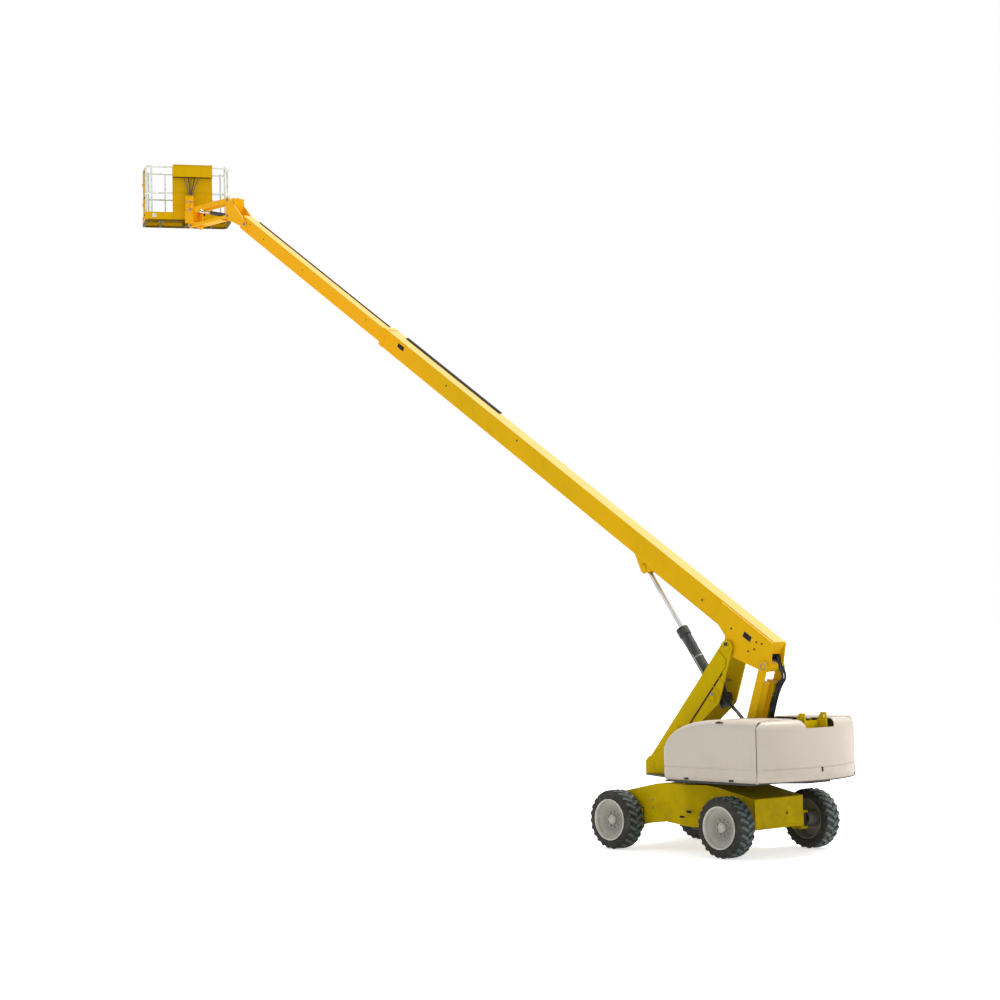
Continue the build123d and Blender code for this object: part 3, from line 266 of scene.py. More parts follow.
def rim_paint(name, face, painted_dish_shade, dust):
    """Rim paint with painted shade that darkens towards the bottom of the dish."""
    material, tree, shader, place = new_material(name)
    across = add_node(tree, "SeparateXYZ", {"Vector": place}).outputs["Y"]
    out = add_node(tree, "Math", {0: across}, operation="ABSOLUTE").outputs[0]
    body = blend_colour(tree, ramp(tree, out, *RIM_DISH_SHADE_Y), painted_dish_shade, face)
    spots = ramp(tree, noise(tree, place, 8, 8, 0.6), 0.40, 0.70, 0, 0.4)
    feed(tree, shader, {"Base Color": blend_colour(tree, spots, body, dust), "Roughness": 0.5})
    return material


FINISHES = {}


def make_finishes():
    finish = bpy.context.scene.lift_finishes
    paint = (finish.yellow, finish.yellow_pale)
    olive = (finish.olive, finish.olive_pale)
    clean = (-20, -19)
    deck_z = min(corner[2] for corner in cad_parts["platform_floor"].bound_box)
    FINISHES.update(
        # The boom paint carries a painted highlight on its upward faces
        yellow=weathered(
            "boom_paint", *paint, finish.grime, clean, 0, 0.50, 90,
            gloss=0.07, streak=0.3, top_painted_highlight=0.6, tip=finish.warm,
        ),
        chassis=weathered(
            "chassis_paint", *olive, finish.grime, (0.2, 1.6), 0.28, 0.55, 90, gloss=0.05, streak=0.5,
        ),
        # The platform's dark brown is painted shade, under its deck and on its downward faces
        platform=weathered(
            "platform_paint", *paint, tone(78, 62, 8), (deck_z + 0.02, deck_z + 0.06), 0.92, 0.55, 90,
            gloss=0.07, streak=0.3, patchy=False, underside_painted_shade=0.95,
        ),
        cover=weathered(
            "cover_shell", finish.cover, shaded(finish.cover, 0.93), finish.dust, (1.2, 1.7), 0.16, 0.45, 140,
            coat=0.12, streak=0.3,
        ),
        # Rim grey with painted shade in the dish, darkened to 0.36
        rim=rim_paint("rim_paint", finish.rim, shaded(finish.rim, 0.36), finish.dust),
        dark=weathered(
            "dark_paint", finish.dark, shaded(finish.dark, 1.5), finish.dust, (0.2, 1.2), 0.4, 0.5, 110,
        ),
        cast=weathered(
            "cast_iron", finish.dark, shaded(finish.dark, 1.4), finish.dust, (0.5, 2.0), 0.3, 0.7, 60,
        ),
        chrome=steel("chrome_rod", tone(214, 216, 220), 0.12, 3),
        zinc=steel("zinc_steel", finish.zinc, 0.38, 12, 0.35),
        bolt=steel("bolt_steel", tone(150, 150, 148), 0.42, 30, 0.85),
        rubber=rubber("tyre_rubber", finish.rubber, tone(92, 96, 92), 0.72),
        worn=rubber("worn_tread", tone(80, 94, 94), tone(108, 122, 120), 0.65),
        hose=rubber("hose_jacket", finish.hose, tone(58, 58, 58), 0.55),
        plastic=rubber("black_plastic", tone(30, 30, 32), tone(64, 62, 60), 0.5),
        pad=weathered("pad_nylon", tone(206, 200, 186), tone(186, 178, 160), finish.grime, clean, 0, 0.5, 100),
        engine=weathered(
            "engine_paint", tone(70, 72, 74), tone(88, 90, 92), finish.dust, (1.2, 1.8), 0.4, 0.6, 80,
        ),
        label=weathered(
            "blank_label", tone(226, 224, 218), tone(214, 212, 206), finish.grime, clean, 0, 0.5, 120,
        ),
        # Black of painted shade, for slots, holes, seams and recesses
        shadow=rubber("painted_gap_shade", tone(12, 12, 12), tone(22, 22, 22), 0.8),
        tread=steel("deck_tread", tone(170, 172, 172), 0.45, 40, 0.6),
        cable=rubber("grey_cable", tone(96, 96, 92), tone(120, 118, 112), 0.5),
    )


# Shapes
def new_piece(name, bm, finish, body, replaces=(), smooth=True):
    """Object from a bmesh, riding on a CAD body with a finish, and hiding the CAD nodes it replaces."""
    mesh = bpy.data.meshes.new(name)
    bmesh.ops.recalc_face_normals(bm, faces=bm.faces)
    bm.to_mesh(mesh)
    bm.free()
    piece = bpy.data.objects.new(name, mesh)
    bpy.context.collection.objects.link(piece)
    mesh.materials.append(FINISHES[finish])
    if smooth:
        mesh.shade_smooth()
        mesh.set_sharp_from_angle(angle=radians(32))
    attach(piece, body)
    if replaces:
        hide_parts(*replaces)
    return piece


def pose_matrix(centre, axes=None):
    return Matrix.Translation(Vector(centre)) @ (axes.to_4x4() if axes else Matrix.Identity(4))


def join(bm, part, matrix):
    """Moves a small finished bmesh into place and adds it to a larger one."""
    bmesh.ops.transform(part, matrix=matrix, verts=part.verts)
    scratch = bpy.data.meshes.new("scratch")
    part.to_mesh(scratch)
    part.free()
    bm.from_mesh(scratch)
    bpy.data.meshes.remove(scratch)


def round_edges(bm, edges, offset, segments, clamp=True):
    bmesh.ops.bevel(
        bm, geom=edges, offset=offset, segments=segments, profile=0.5, affect="EDGES", material=-1,
        clamp_overlap=clamp,
    )


def block(bm, centre, box, bevel=0.0, axes=None, segments=2):
    """Bevelled block of full size box, turned by axes and set at centre."""
    part = bmesh.new()
    bmesh.ops.create_cube(part, size=1)
    bmesh.ops.scale(part, vec=box, verts=part.verts)
    if bevel:
        round_edges(part, part.edges[:], bevel, segments)
    join(bm, part, pose_matrix(centre, axes))


def turn_to(direction):
    """Axes whose Z points along a direction."""
    return UP.rotation_difference(Vector(direction).normalized()).to_matrix()


def axes_along(direction):
    """Axes whose X points along a direction and whose Y points across the machine."""
    return Matrix((direction, ACROSS, direction.cross(ACROSS))).transposed()


def bar(bm, start, end, radius, sides=20, bevel=0.0):
    """Round bar from start to end, with closed and eased ends."""
    start, end = Vector(start), Vector(end)
    part = bmesh.new()
    bmesh.ops.create_cone(
        part, cap_ends=True, segments=sides, radius1=radius, radius2=radius, depth=(end - start).length
    )
    if bevel:
        round_edges(part, [e for e in part.edges if any(len(f.verts) > 4 for f in e.link_faces)], bevel, 2)
    join(bm, part, pose_matrix((start + end) / 2, turn_to(end - start)))


def hex_head(bm, place, direction, width, height):
    """Bolt head on its washer."""
    place, direction = Vector(place), Vector(direction).normalized()
    seat = place + direction * height * 0.25
    bar(bm, place, seat, width * 0.72, 14)
    bar(bm, seat, place + direction * height, width / 2 * 1.1, 6, height * 0.12)


def bolt_circle(bm, centre, first, second, out, count, radius, width, height, shift=0.0):
    """Bolt heads round a circle in the plane of two directions."""
    for index in range(count):
        turn = 2 * pi * (index + shift) / count
        ray = first * cos(turn) + second * sin(turn)
        hex_head(bm, Vector(centre) + ray * radius, out, width, height)


def spun(bm, profile, centre, axis, steps):
    """Profile of (along the axis, radius) pairs, spun once round the axis."""
    part = bmesh.new()
    verts = [part.verts.new((radius, 0, along)) for along, radius in profile]
    edges = [part.edges.new((verts[i - 1], verts[i])) for i in range(len(verts))]
    bmesh.ops.spin(
        part, geom=verts + edges, cent=(0, 0, 0), axis=(0, 0, 1), angle=2 * pi, steps=steps, use_merge=True
    )
    bmesh.ops.remove_doubles(part, verts=part.verts, dist=0.0001)
    join(bm, part, pose_matrix(centre, turn_to(axis)))


def sleeve(bm, centre, axis, half, inner, outer, steps):
    """Ring with a bore, reaching half its length to either side of its centre."""
    spun(bm, ((-half, inner), (-half, outer), (half, outer), (half, inner)), centre, axis, steps)


def raised_ring(bm, centre, axis, height, inner, outer, steps, lean_in=0.002, lean_out=0.004):
    """Ring on a face, a little wider at its foot than at its top."""
    profile = ((0, inner - lean_in), (height, inner), (height, outer), (0, outer + lean_out))
    spun(bm, profile, centre, axis, steps)


def plate(bm, outline, thick, direction, bevel=0.0):
    """Flat plate from its corner places, given a thickness along a direction."""
    verts = [bm.verts.new(Vector(p)) for p in outline]
    made = bmesh.ops.extrude_face_region(bm, geom=[bm.faces.new(verts)])
    moved = [v for v in made["geom"] if isinstance(v, bmesh.types.BMVert)]
    bmesh.ops.translate(bm, vec=Vector(direction).normalized() * thick, verts=moved)
    if bevel:
        round_edges(bm, list({e for v in verts + moved for e in v.link_edges}), bevel, 2, clamp=False)


def cut_at(bm, place, normal):
    bmesh.ops.bisect_plane(bm, geom=bm.verts[:] + bm.edges[:] + bm.faces[:], plane_co=place, plane_no=normal)


def hose_line(name, points, radius, finish="hose"):
    """Round hose along a smooth line through its points."""
    curve = bpy.data.curves.new(name, "CURVE")
    curve.dimensions = "3D"
    curve.bevel_depth = radius
    curve.bevel_resolution = 3
    curve.use_fill_caps = True
    spline = curve.splines.new("NURBS")
    spline.points.add(len(points) - 1)
    for point, place in zip(spline.points, points):
        point.co = (*place, 1)
    spline.order_u = 3
    spline.use_endpoint_u = True
    curve.resolution_u = 8
    curve.materials.append(FINISHES[finish])
    piece = bpy.data.objects.new(name, curve)
    bpy.context.collection.objects.link(piece)
    return piece


def hose_piece(name, points, radius, body, finish="hose"):
    """Short fixed hose that rides on one body."""
    piece = hose_line(name, points, radius, finish)
    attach(piece, body)


def smooth_tube(name, points, radius):
    """Mesh tube along a smooth line, for a hose that runs across a joint."""
    piece = hose_line(name + "_line", points, radius)
    evaluated = piece.evaluated_get(bpy.context.evaluated_depsgraph_get())
    mesh = bpy.data.meshes.new_from_object(evaluated)
    bpy.data.objects.remove(piece)
    tube = bpy.data.objects.new(name, mesh)
    bpy.context.collection.objects.link(tube)
    mesh.shade_smooth()
    return tube


def boom_place(along, below, across=0.0):
    """Place on the boom: along it from the tail, below its top and across the machine."""
    return TAIL + ALONG * along + DOWN * below + ACROSS * across


def boom_block(bm, along, below, across, box, bevel, segments=2):
    block(bm, boom_place(along, below, across), box, bevel, BOOM_AXES, segments)


def boom_bead(bm, first, last, below, across, radius):
    bar(bm, boom_place(first, below, across), boom_place(last, below, across), radius, 8)


def platform_place(away, side, height):
    """Place on the turned platform: away from the rotator, to a side and above ground."""
    place = PLATFORM_AXES @ Vector((away, side, 0))
    return Vector((ROTATOR.x + place.x, place.y, height))


def platform_block(bm, away, side, height, box, bevel):
    block(bm, platform_place(away, side, height), box, bevel, PLATFORM_AXES)


def pin_keeper(bm, pin, side, reach, sizes):
    """Keeper plate and its bolts above a pin's end, reach away from the middle."""
    out = ACROSS * side
    place = pin + out * reach
    block(bm, place + UP * 0.058 + out * 0.004, (0.060, 0.008, 0.0544), 0.002)
    for shift in (-0.018, 0.018):
        hex_head(bm, place + Vector((shift, 0, 0.066)) + out * 0.008, out, sizes.bolt * 0.7, 0.010)


class LIFT_OT_frame_finishes(Operator):
    """Gives every CAD node its finish"""

    bl_idname = "lift.frame_finishes"
    bl_label = "Frame finishes"

    def execute(self, context):
        make_finishes()
        table = {
            "yellow": "base_boom rear_link platform_support fly_boom tip_head jib_upper jib_lower",
            "platform": "platform_floor console gate platform_bracket",
            "chassis": "lift_arm chassis_frame turntable_walls fixed_axle steer_axle",
            "cover": "cover_left cover_right rear_cover",
            "rim": "rim_fixed_left rim_fixed_right rim_steer_left rim_steer_right",
            "dark": "lift_barrel jib_barrel knuckle_left knuckle_right tie_rod slew_bearing turntable_frame",
            "cast": "counterweight", "engine": "engine_block", "plastic": "hydraulic_tank",
            "chrome": "lift_rod jib_rod", "zinc": "platform_rails", "pad": "wear_pads",
            "hose": "fly_hose hose_carrier",
            "rubber": "tyre_fixed_left tyre_fixed_right tyre_steer_left tyre_steer_right",
        }
        for finish, names in table.items():
            for name in names.split():
                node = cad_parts[name]
                node.data.materials.clear()
                node.data.materials.append(FINISHES[finish])
        return {"FINISHED"}


class LIFT_OT_tyres(Operator):
    """Tyres with a ribbed sidewall and slanted tread lugs"""

    bl_idname = "lift.tyres"
    bl_label = "Tyres"

    def execute(self, context):
        sizes = context.scene.lift_sizes
        tread = TYRE_RADIUS - sizes.lug_height
        half_profile = (
            (0.150, 0.340), (0.168, 0.352), (0.1765, 0.385), (0.1765, 0.405), (0.172, 0.410),
            (0.1765, 0.416), (0.1755, 0.440), (0.166, 0.466), (0.140, tread - 0.004), (0.09, tread),
        )
        profile = [(-y, radius) for y, radius in half_profile] + list(reversed(half_profile))
        tyre = bmesh.new()
        spun(tyre, profile, (0, 0, 0), ACROSS, 72)
        step = 2 * pi / sizes.lug_count
        for row in (-1, 1):
            lug = self.lug(row, sizes, tread)
            for index in range(sizes.lug_count):
                turn = Matrix.Rotation((index + (0.5 if row > 0 else 0)) * step, 4, "Y")
                join(tyre, lug.copy(), turn)
            lug.free()
        for name, (x, side) in WHEELS.items():
            copy = tyre.copy()
            bmesh.ops.translate(copy, vec=(x, side * WHEEL_Y, AXLE_Z), verts=copy.verts)
            piece = new_piece(
                f"tyre_tread_{name}", copy, "rubber", f"wheel_{name}", (f"tyre_{name}",)
            )
            piece.data.materials.append(FINISHES["worn"])
        tyre.free()
        return {"FINISHED"}

    def lug(self, row, sizes, tread):
        """One lug wrapped onto the tread, with the shoulder block at its outer end."""
        length, slant, row_y, shoulder_y = 0.185, radians(27), 0.078, 0.125
        bm = bmesh.new()
        bmesh.ops.create_cube(bm, size=1)
        bmesh.ops.scale(bm, vec=(sizes.lug_width, length, 1), verts=bm.verts)
        bmesh.ops.scale(bm, vec=(0.80, 0.97, 1), verts=[v for v in bm.verts if v.co.z > 0])
        lengthways = [e for e in bm.edges if abs(e.verts[0].co.y - e.verts[1].co.y) > length / 2]
        bmesh.ops.subdivide_edges(bm, edges=lengthways, cuts=5, use_grid_fill=True)
        bmesh.ops.rotate(bm, matrix=Matrix.Rotation(slant * row, 3, "Z"), verts=bm.verts)
        bmesh.ops.translate(bm, vec=(0, row * row_y, 0), verts=bm.verts)
        for vert in bm.verts:
            fall = max(0, abs(vert.co.y) - shoulder_y)
            radius = TYRE_RADIUS - fall * 0.45 if vert.co.z > 0 else tread - 0.006 - fall * 0.7
            turn = vert.co.x / TYRE_RADIUS
            vert.co = (sin(turn) * radius, vert.co.y, cos(turn) * radius)
        for face in bm.faces:
            middle = face.calc_center_median()
            face.material_index = int(hypot(middle.x, middle.z) > tread + 0.003)
        slope = Matrix.Rotation(radians(14) * row, 3, "X")
        block(bm, (-0.038, row * 0.1595, 0.459), (sizes.lug_width * 0.9, 0.022, 0.060), 0.004, slope)
        return bm


class LIFT_OT_wheel_fittings(Operator):
    """Wheel nuts and hub bolts on each rim"""

    bl_idname = "lift.wheel_fittings"
    bl_label = "Wheel fittings"

    def execute(self, context):
        nut = context.scene.lift_sizes.wheel_nut
        rim_face = WHEEL_Y + 0.1775 - 0.095
        hub_face = rim_face + 0.130 * 0.35
        for name, (x, side) in WHEELS.items():
            bm = bmesh.new()
            out = ACROSS * side
            bolt_circle(bm, (x, side * rim_face, AXLE_Z), FORWARD, UP, out, 9, 0.132, nut, 0.026)
            bolt_circle(bm, (x, side * hub_face, AXLE_Z), FORWARD, UP, out, 8, 0.055, nut * 0.5, 0.012, 0.5)
            new_piece(f"wheel_nuts_{name}", bm, "rim", f"wheel_{name}")
        return {"FINISHED"}


HOOD = SimpleNamespace(front=-0.030, rear=2.115, bottom=1.258, top=2.270, inner=0.320, outer=1.235)
HOOD_ROUNDING = 0.14
HOOD_CORNER = 0.030


def shell_of(bm, name, body, replaced):
    """Moulded cover from open outer faces, its wall added inwards."""
    piece = new_piece(name, bm, "cover", body, (replaced,))
    wall = piece.modifiers.new("wall", "SOLIDIFY")
    wall.thickness = 0.012
    wall.offset = -1


def edges_where(bm, test):
    return [e for e in bm.edges if all(test(v.co) for v in e.verts)]


def drop_faces(bm, test):
    """Deletes the faces whose normal and middle pass a test."""
    bmesh.ops.recalc_face_normals(bm, faces=bm.faces)
    caps = [f for f in bm.faces if test(f.normal, f.calc_center_median())]
    bmesh.ops.delete(bm, geom=caps, context="FACES")


def push_in(bm, test, depth):
    """Moves vertices level inwards by a depth that may depend on their place."""
    bm.normal_update()
    moves = [(v, Vector((v.normal.x, v.normal.y, 0))) for v in bm.verts if test(v.co)]
    for vert, out in moves:
        if out.length > 0.1:
            bmesh.ops.translate(bm, vec=-out.normalized() * depth(vert.co), verts=[vert])


def mould_walls(bm, first=-10, last=10):
    """Tucks in the walls' lower edge and presses a level groove between two places along X."""
    crease, tuck = 1.345, 0.014
    cut_at(bm, (0, 0, crease), UP)
    push_in(
        bm, lambda co: co.z < crease - 0.001,
        lambda co: tuck * ((crease - co.z) / (crease - HOOD.bottom)),
    )
    height, half, depth, flank = 1.480, 0.008, 0.009, 0.006
    for end in (first, last):
        cut_at(bm, (end, 0, 0), FORWARD)
    for level in (height - half - flank, height - half, height + half, height + half + flank):
        cut_at(bm, (0, 0, level), UP)
    push_in(bm, lambda co: abs(co.z - height) < half + 0.001 and first < co.x < last, lambda co: depth)


class LIFT_OT_covers(Operator):
    """Moulded side covers and rear cover, with their grooves, latches and hinge rings"""

    bl_idname = "lift.covers"
    bl_label = "Covers"

    def execute(self, context):
        for side, name in ((-1, "left"), (1, "right")):
            self.side_cover(side, name)
        self.rear_cover()
        return {"FINISHED"}

    def side_cover(self, side, name):
        h = HOOD
        length = h.rear - h.front
        bm = bmesh.new()
        outline = (
            (h.front, h.bottom), (h.front, h.top - length * 0.19),
            (h.front + length * 0.13, h.top - length * 0.08),
            (h.front + length * 0.30, h.top - length * 0.025), (h.front + length * 0.5, h.top),
            (h.rear, h.top), (h.rear, h.bottom),
        )
        plate(bm, [(x, side * h.inner, z) for x, z in outline], h.outer - h.inner, ACROSS * side)
        crosswise = [
            e for e in bm.edges if abs(e.verts[0].co.y - e.verts[1].co.y) > 0.5
            and e.verts[0].co.z > h.bottom + 0.3 and e.verts[0].co.x < h.rear - 0.1
        ]
        round_edges(bm, crosswise, 0.15, 5)
        at_outer = lambda co: abs(co.y - side * h.outer) < 0.001
        rim = [
            e for e in edges_where(bm, at_outer)
            if max(v.co.z for v in e.verts) > h.bottom + 0.01 and min(v.co.x for v in e.verts) < h.rear - 0.01
        ]
        round_edges(bm, rim, HOOD_ROUNDING, 7, clamp=False)
        at_corner = edges_where(bm, lambda co: at_outer(co) and co.x > h.rear - 0.001)
        round_edges(bm, at_corner, HOOD_CORNER, 4)
        drop_faces(bm, lambda normal, middle: (
            (normal.y * side < -0.99 and abs(middle.y) < h.inner + 0.02)
            or (normal.z < -0.99 and middle.z < h.bottom + 0.002)
            or (normal.x > 0.99 and middle.x > h.rear - 0.002)
        ))
        mould_walls(bm, last=h.rear - 0.13)
        body = f"cover_{name}"
        shell_of(bm, f"moulded_cover_{name}", body, body)

        hinge_y, hinge_z = 0.303, 2.252
        hinges = bmesh.new()
        for x in (1.150, 1.930):
            block(hinges, (x, side * 0.334, 2.2615), (0.078, 0.040, 0.010), 0.002)
            sleeve(hinges, (x, side * hinge_y, hinge_z), FORWARD, 0.039, 0.0083, 0.0165, 24)
        new_piece(f"cover_hinges_{name}", hinges, "zinc", body)

        fittings = bmesh.new()
        block(fittings, (1.30, side * 1.196, 2.228), (0.16, 0.045, 0.022), 0.008)
        block(fittings, (1.30, side * 1.212, 2.236), (0.07, 0.020, 0.030), 0.006)
        for x in (0.55, 1.56):
            block(fittings, (x, side * 1.232, 1.285), (0.10, 0.012, 0.036), 0.005)
        new_piece(f"cover_latches_{name}", fittings, "plastic", body)

    def rear_cover(self):
        bottom, outer = HOOD.bottom, HOOD.outer
        reach, top, count = 2.460, 2.262, 28
        end = asin(outer / reach)
        front = reach * cos(end)
        turns = [end * (2 * i / count - 1) for i in range(count + 1)]
        bm = bmesh.new()
        plate(bm, [(reach * cos(t), reach * sin(t), bottom) for t in turns], top - bottom, UP)
        at_top = [
            e for e in edges_where(bm, lambda co: co.z > top - 0.001)
            if abs(e.verts[0].co.y - e.verts[1].co.y) < outer
        ]
        round_edges(bm, at_top, HOOD_ROUNDING, 7, clamp=False)
        corners = [
            e for e in bm.edges if abs(e.verts[0].co.z - e.verts[1].co.z) > 0.5
            and all(abs(v.co.y) > outer - 0.001 for v in e.verts)
        ]
        round_edges(bm, corners, HOOD_CORNER, 4)
        drop_faces(bm, lambda normal, middle: (
            (normal.z < -0.99 and middle.z < bottom + 0.002) or (normal.x < -0.99 and middle.x < front + 0.003)
        ))
        floor, half, lean = 2.125, 0.345, 0.055
        slope = (top - floor) / lean
        cut_at(bm, (0, -half, floor), (0, slope, 1))
        cut_at(bm, (0, half, floor), (0, -slope, 1))
        cut_at(bm, (0, 0, floor), UP)
        in_notch = lambda co: co.z > floor and abs(co.y) < half + (co.z - floor) / slope
        notch = [f for f in bm.faces if in_notch(f.calc_center_median())]
        bmesh.ops.delete(bm, geom=notch, context="FACES")
        mould_walls(bm, first=front + 0.035)
        shell_of(bm, "moulded_rear_cover", "turntable", "rear_cover")

        latch = bmesh.new()
        block(latch, (2.456, 0.0, 1.44), (0.020, 0.045, 0.075), 0.006)
        bar(latch, (2.452, 0.0, 1.455), (2.470, 0.0, 1.455), 0.012, 16)
        new_piece("rear_latch", latch, "plastic", "turntable")
        deck = bmesh.new()
        block(deck, (2.255, 0, 2.085), (0.24, 0.50, 0.010), 0.002)
        block(deck, (2.19, 0, 2.155), (0.012, 0.50, 0.15), 0.003)
        new_piece("rear_deck", deck, "chassis", "turntable")


class LIFT_OT_boom_fittings(Operator):
    """Tail cap, plugs, weld beads, bolts, the hose carrier's chain, and the slots and the tail's lower opening
    as plates of painted shade
    """

    bl_idname = "lift.boom_fittings"
    bl_label = "Boom fittings"

    def execute(self, context):
        sizes = context.scene.lift_sizes
        self.tube_details(sizes)
        self.bolts(sizes)
        self.chain()
        self.fly(sizes)
        return {"FINISHED"}

    def tube_details(self, sizes):
        welds = bmesh.new()
        boom_block(welds, 0.004, 0.118, 0, (0.016, 0.290, 0.236), 0.007, 3)
        for first, last, below, across in ((0.02, 3.25, 0.416, 0.122), (3.25, 11.95, 0.374, 0.128)):
            for side in (-1, 1):
                boom_bead(welds, first, last, below, side * across, sizes.weld)
        for along in (11.975, 12.075):
            for side in (-1, 1):
                start, end = boom_place(along, 0.03, side * 0.158), boom_place(along, 0.346, side * 0.158)
                bar(welds, start, end, 0.004, 8)
        new_piece("boom_welds", welds, "yellow", "base_boom")

        # Slots near the tail and the mouth, black plates of painted shade in yellow rims: along, below, face of
        # the tube, length, height and rim
        slots = ((0.54, 0.23, 0.1705, 0.190, 0.095, 0.016), (11.40, 0.11, 0.1485, 0.215, 0.085, 0.014))
        dark, rims = bmesh.new(), bmesh.new()
        for along, below, face, long, high, border in slots:
            rim_long, rim_high = long + border, high + border
            for side in (-1, 1):
                boom_block(dark, along, below, side * face, (long, 0.004, high), 0.0018)
                for end in (-1, 1):
                    rim_y = side * (face + 0.0015)
                    boom_block(rims, along + end * rim_long / 2, below, rim_y, (0.012, 0.006, rim_high), 0.002)
                    boom_block(rims, along, below + end * rim_high / 2, rim_y, (rim_long, 0.006, 0.012), 0.002)
        # Black plate of painted shade in the tail's lower opening
        boom_block(dark, 0.030, 0.300, 0, (0.018, 0.284, 0.146), 0.004)
        new_piece("boom_slot_shade", dark, "shadow", "base_boom")
        new_piece("boom_slot_rims", rims, "yellow", "base_boom")

    def bolts(self, sizes):
        tail_face, mouth_face = 0.170, 0.148
        bolts = bmesh.new()
        for face, places in (
            (mouth_face, ((9.75, 0.14), (7.37, 0.10))),
            (tail_face, ((1.74, 0.23), (0.30, 0.33), (0.32, 0.20), (0.20, 0.16), (0.40, 0.43), (0.92, 0.30))),
        ):
            for along, below in places:
                for side in (-1, 1):
                    place = boom_place(along, below, side * face)
                    hex_head(bolts, place, ACROSS * side, sizes.bolt, 0.012)
        for side in (-1, 1):
            pin_keeper(bolts, ARM_HEAD, side, 0.240, sizes)
        new_piece("boom_bolts", bolts, "cast", "base_boom")

        bracket = bmesh.new()
        for side in (-1, 1):
            pin_keeper(bracket, ROD_PIN, side, 0.098, sizes)
            ends = [ROD_PIN + ACROSS * side * reach for reach in (0.090, 0.100)]
            bar(bracket, *ends, 0.070, 32, 0.003)
        new_piece("rod_pin_cap", bracket, "yellow", "base_boom")

    def chain(self):
        chain = bmesh.new()
        links, first, length = 66, 8.325, 11.6 - 8.35
        for index in range(links):
            along = first + index * length / (links - 1)
            boom_block(chain, along, -0.016, 0.106, (0.040, 0.070, 0.032), 0.009, 1)
        for across in (0.076, 0.136):
            boom_bead(chain, 8.31, 11.59, -0.012, across, 0.006)
        new_piece("hose_chain", chain, "plastic", "base_boom", ("hose_carrier",))

    def fly(self, sizes):
        plugs = bmesh.new()
        for along, below in ((15.26, 0.17), (12.76, 0.15), (17.53, 0.12), (17.53, 0.26), (16.9, 0.19)):
            for side in (-1, 1):
                ends = [boom_place(along, below, side * face) for face in (0.118, 0.1206)]
                bar(plugs, *ends, sizes.bolt * 0.6, 20)
        clips, first, step = 11, 12.45, 0.48
        for index in range(clips):
            boom_block(plugs, first + index * step, 0.026, 0.093, (0.030, 0.034, 0.018), 0.004)
        new_piece("fly_bolts", plugs, "cast", "fly_boom")
        edge = bmesh.new()
        for side in (-1, 1):
            boom_bead(edge, 12.2, 17.6, 0.338, side * 0.104, 0.004)
        new_piece("fly_welds", edge, "yellow", "fly_boom")


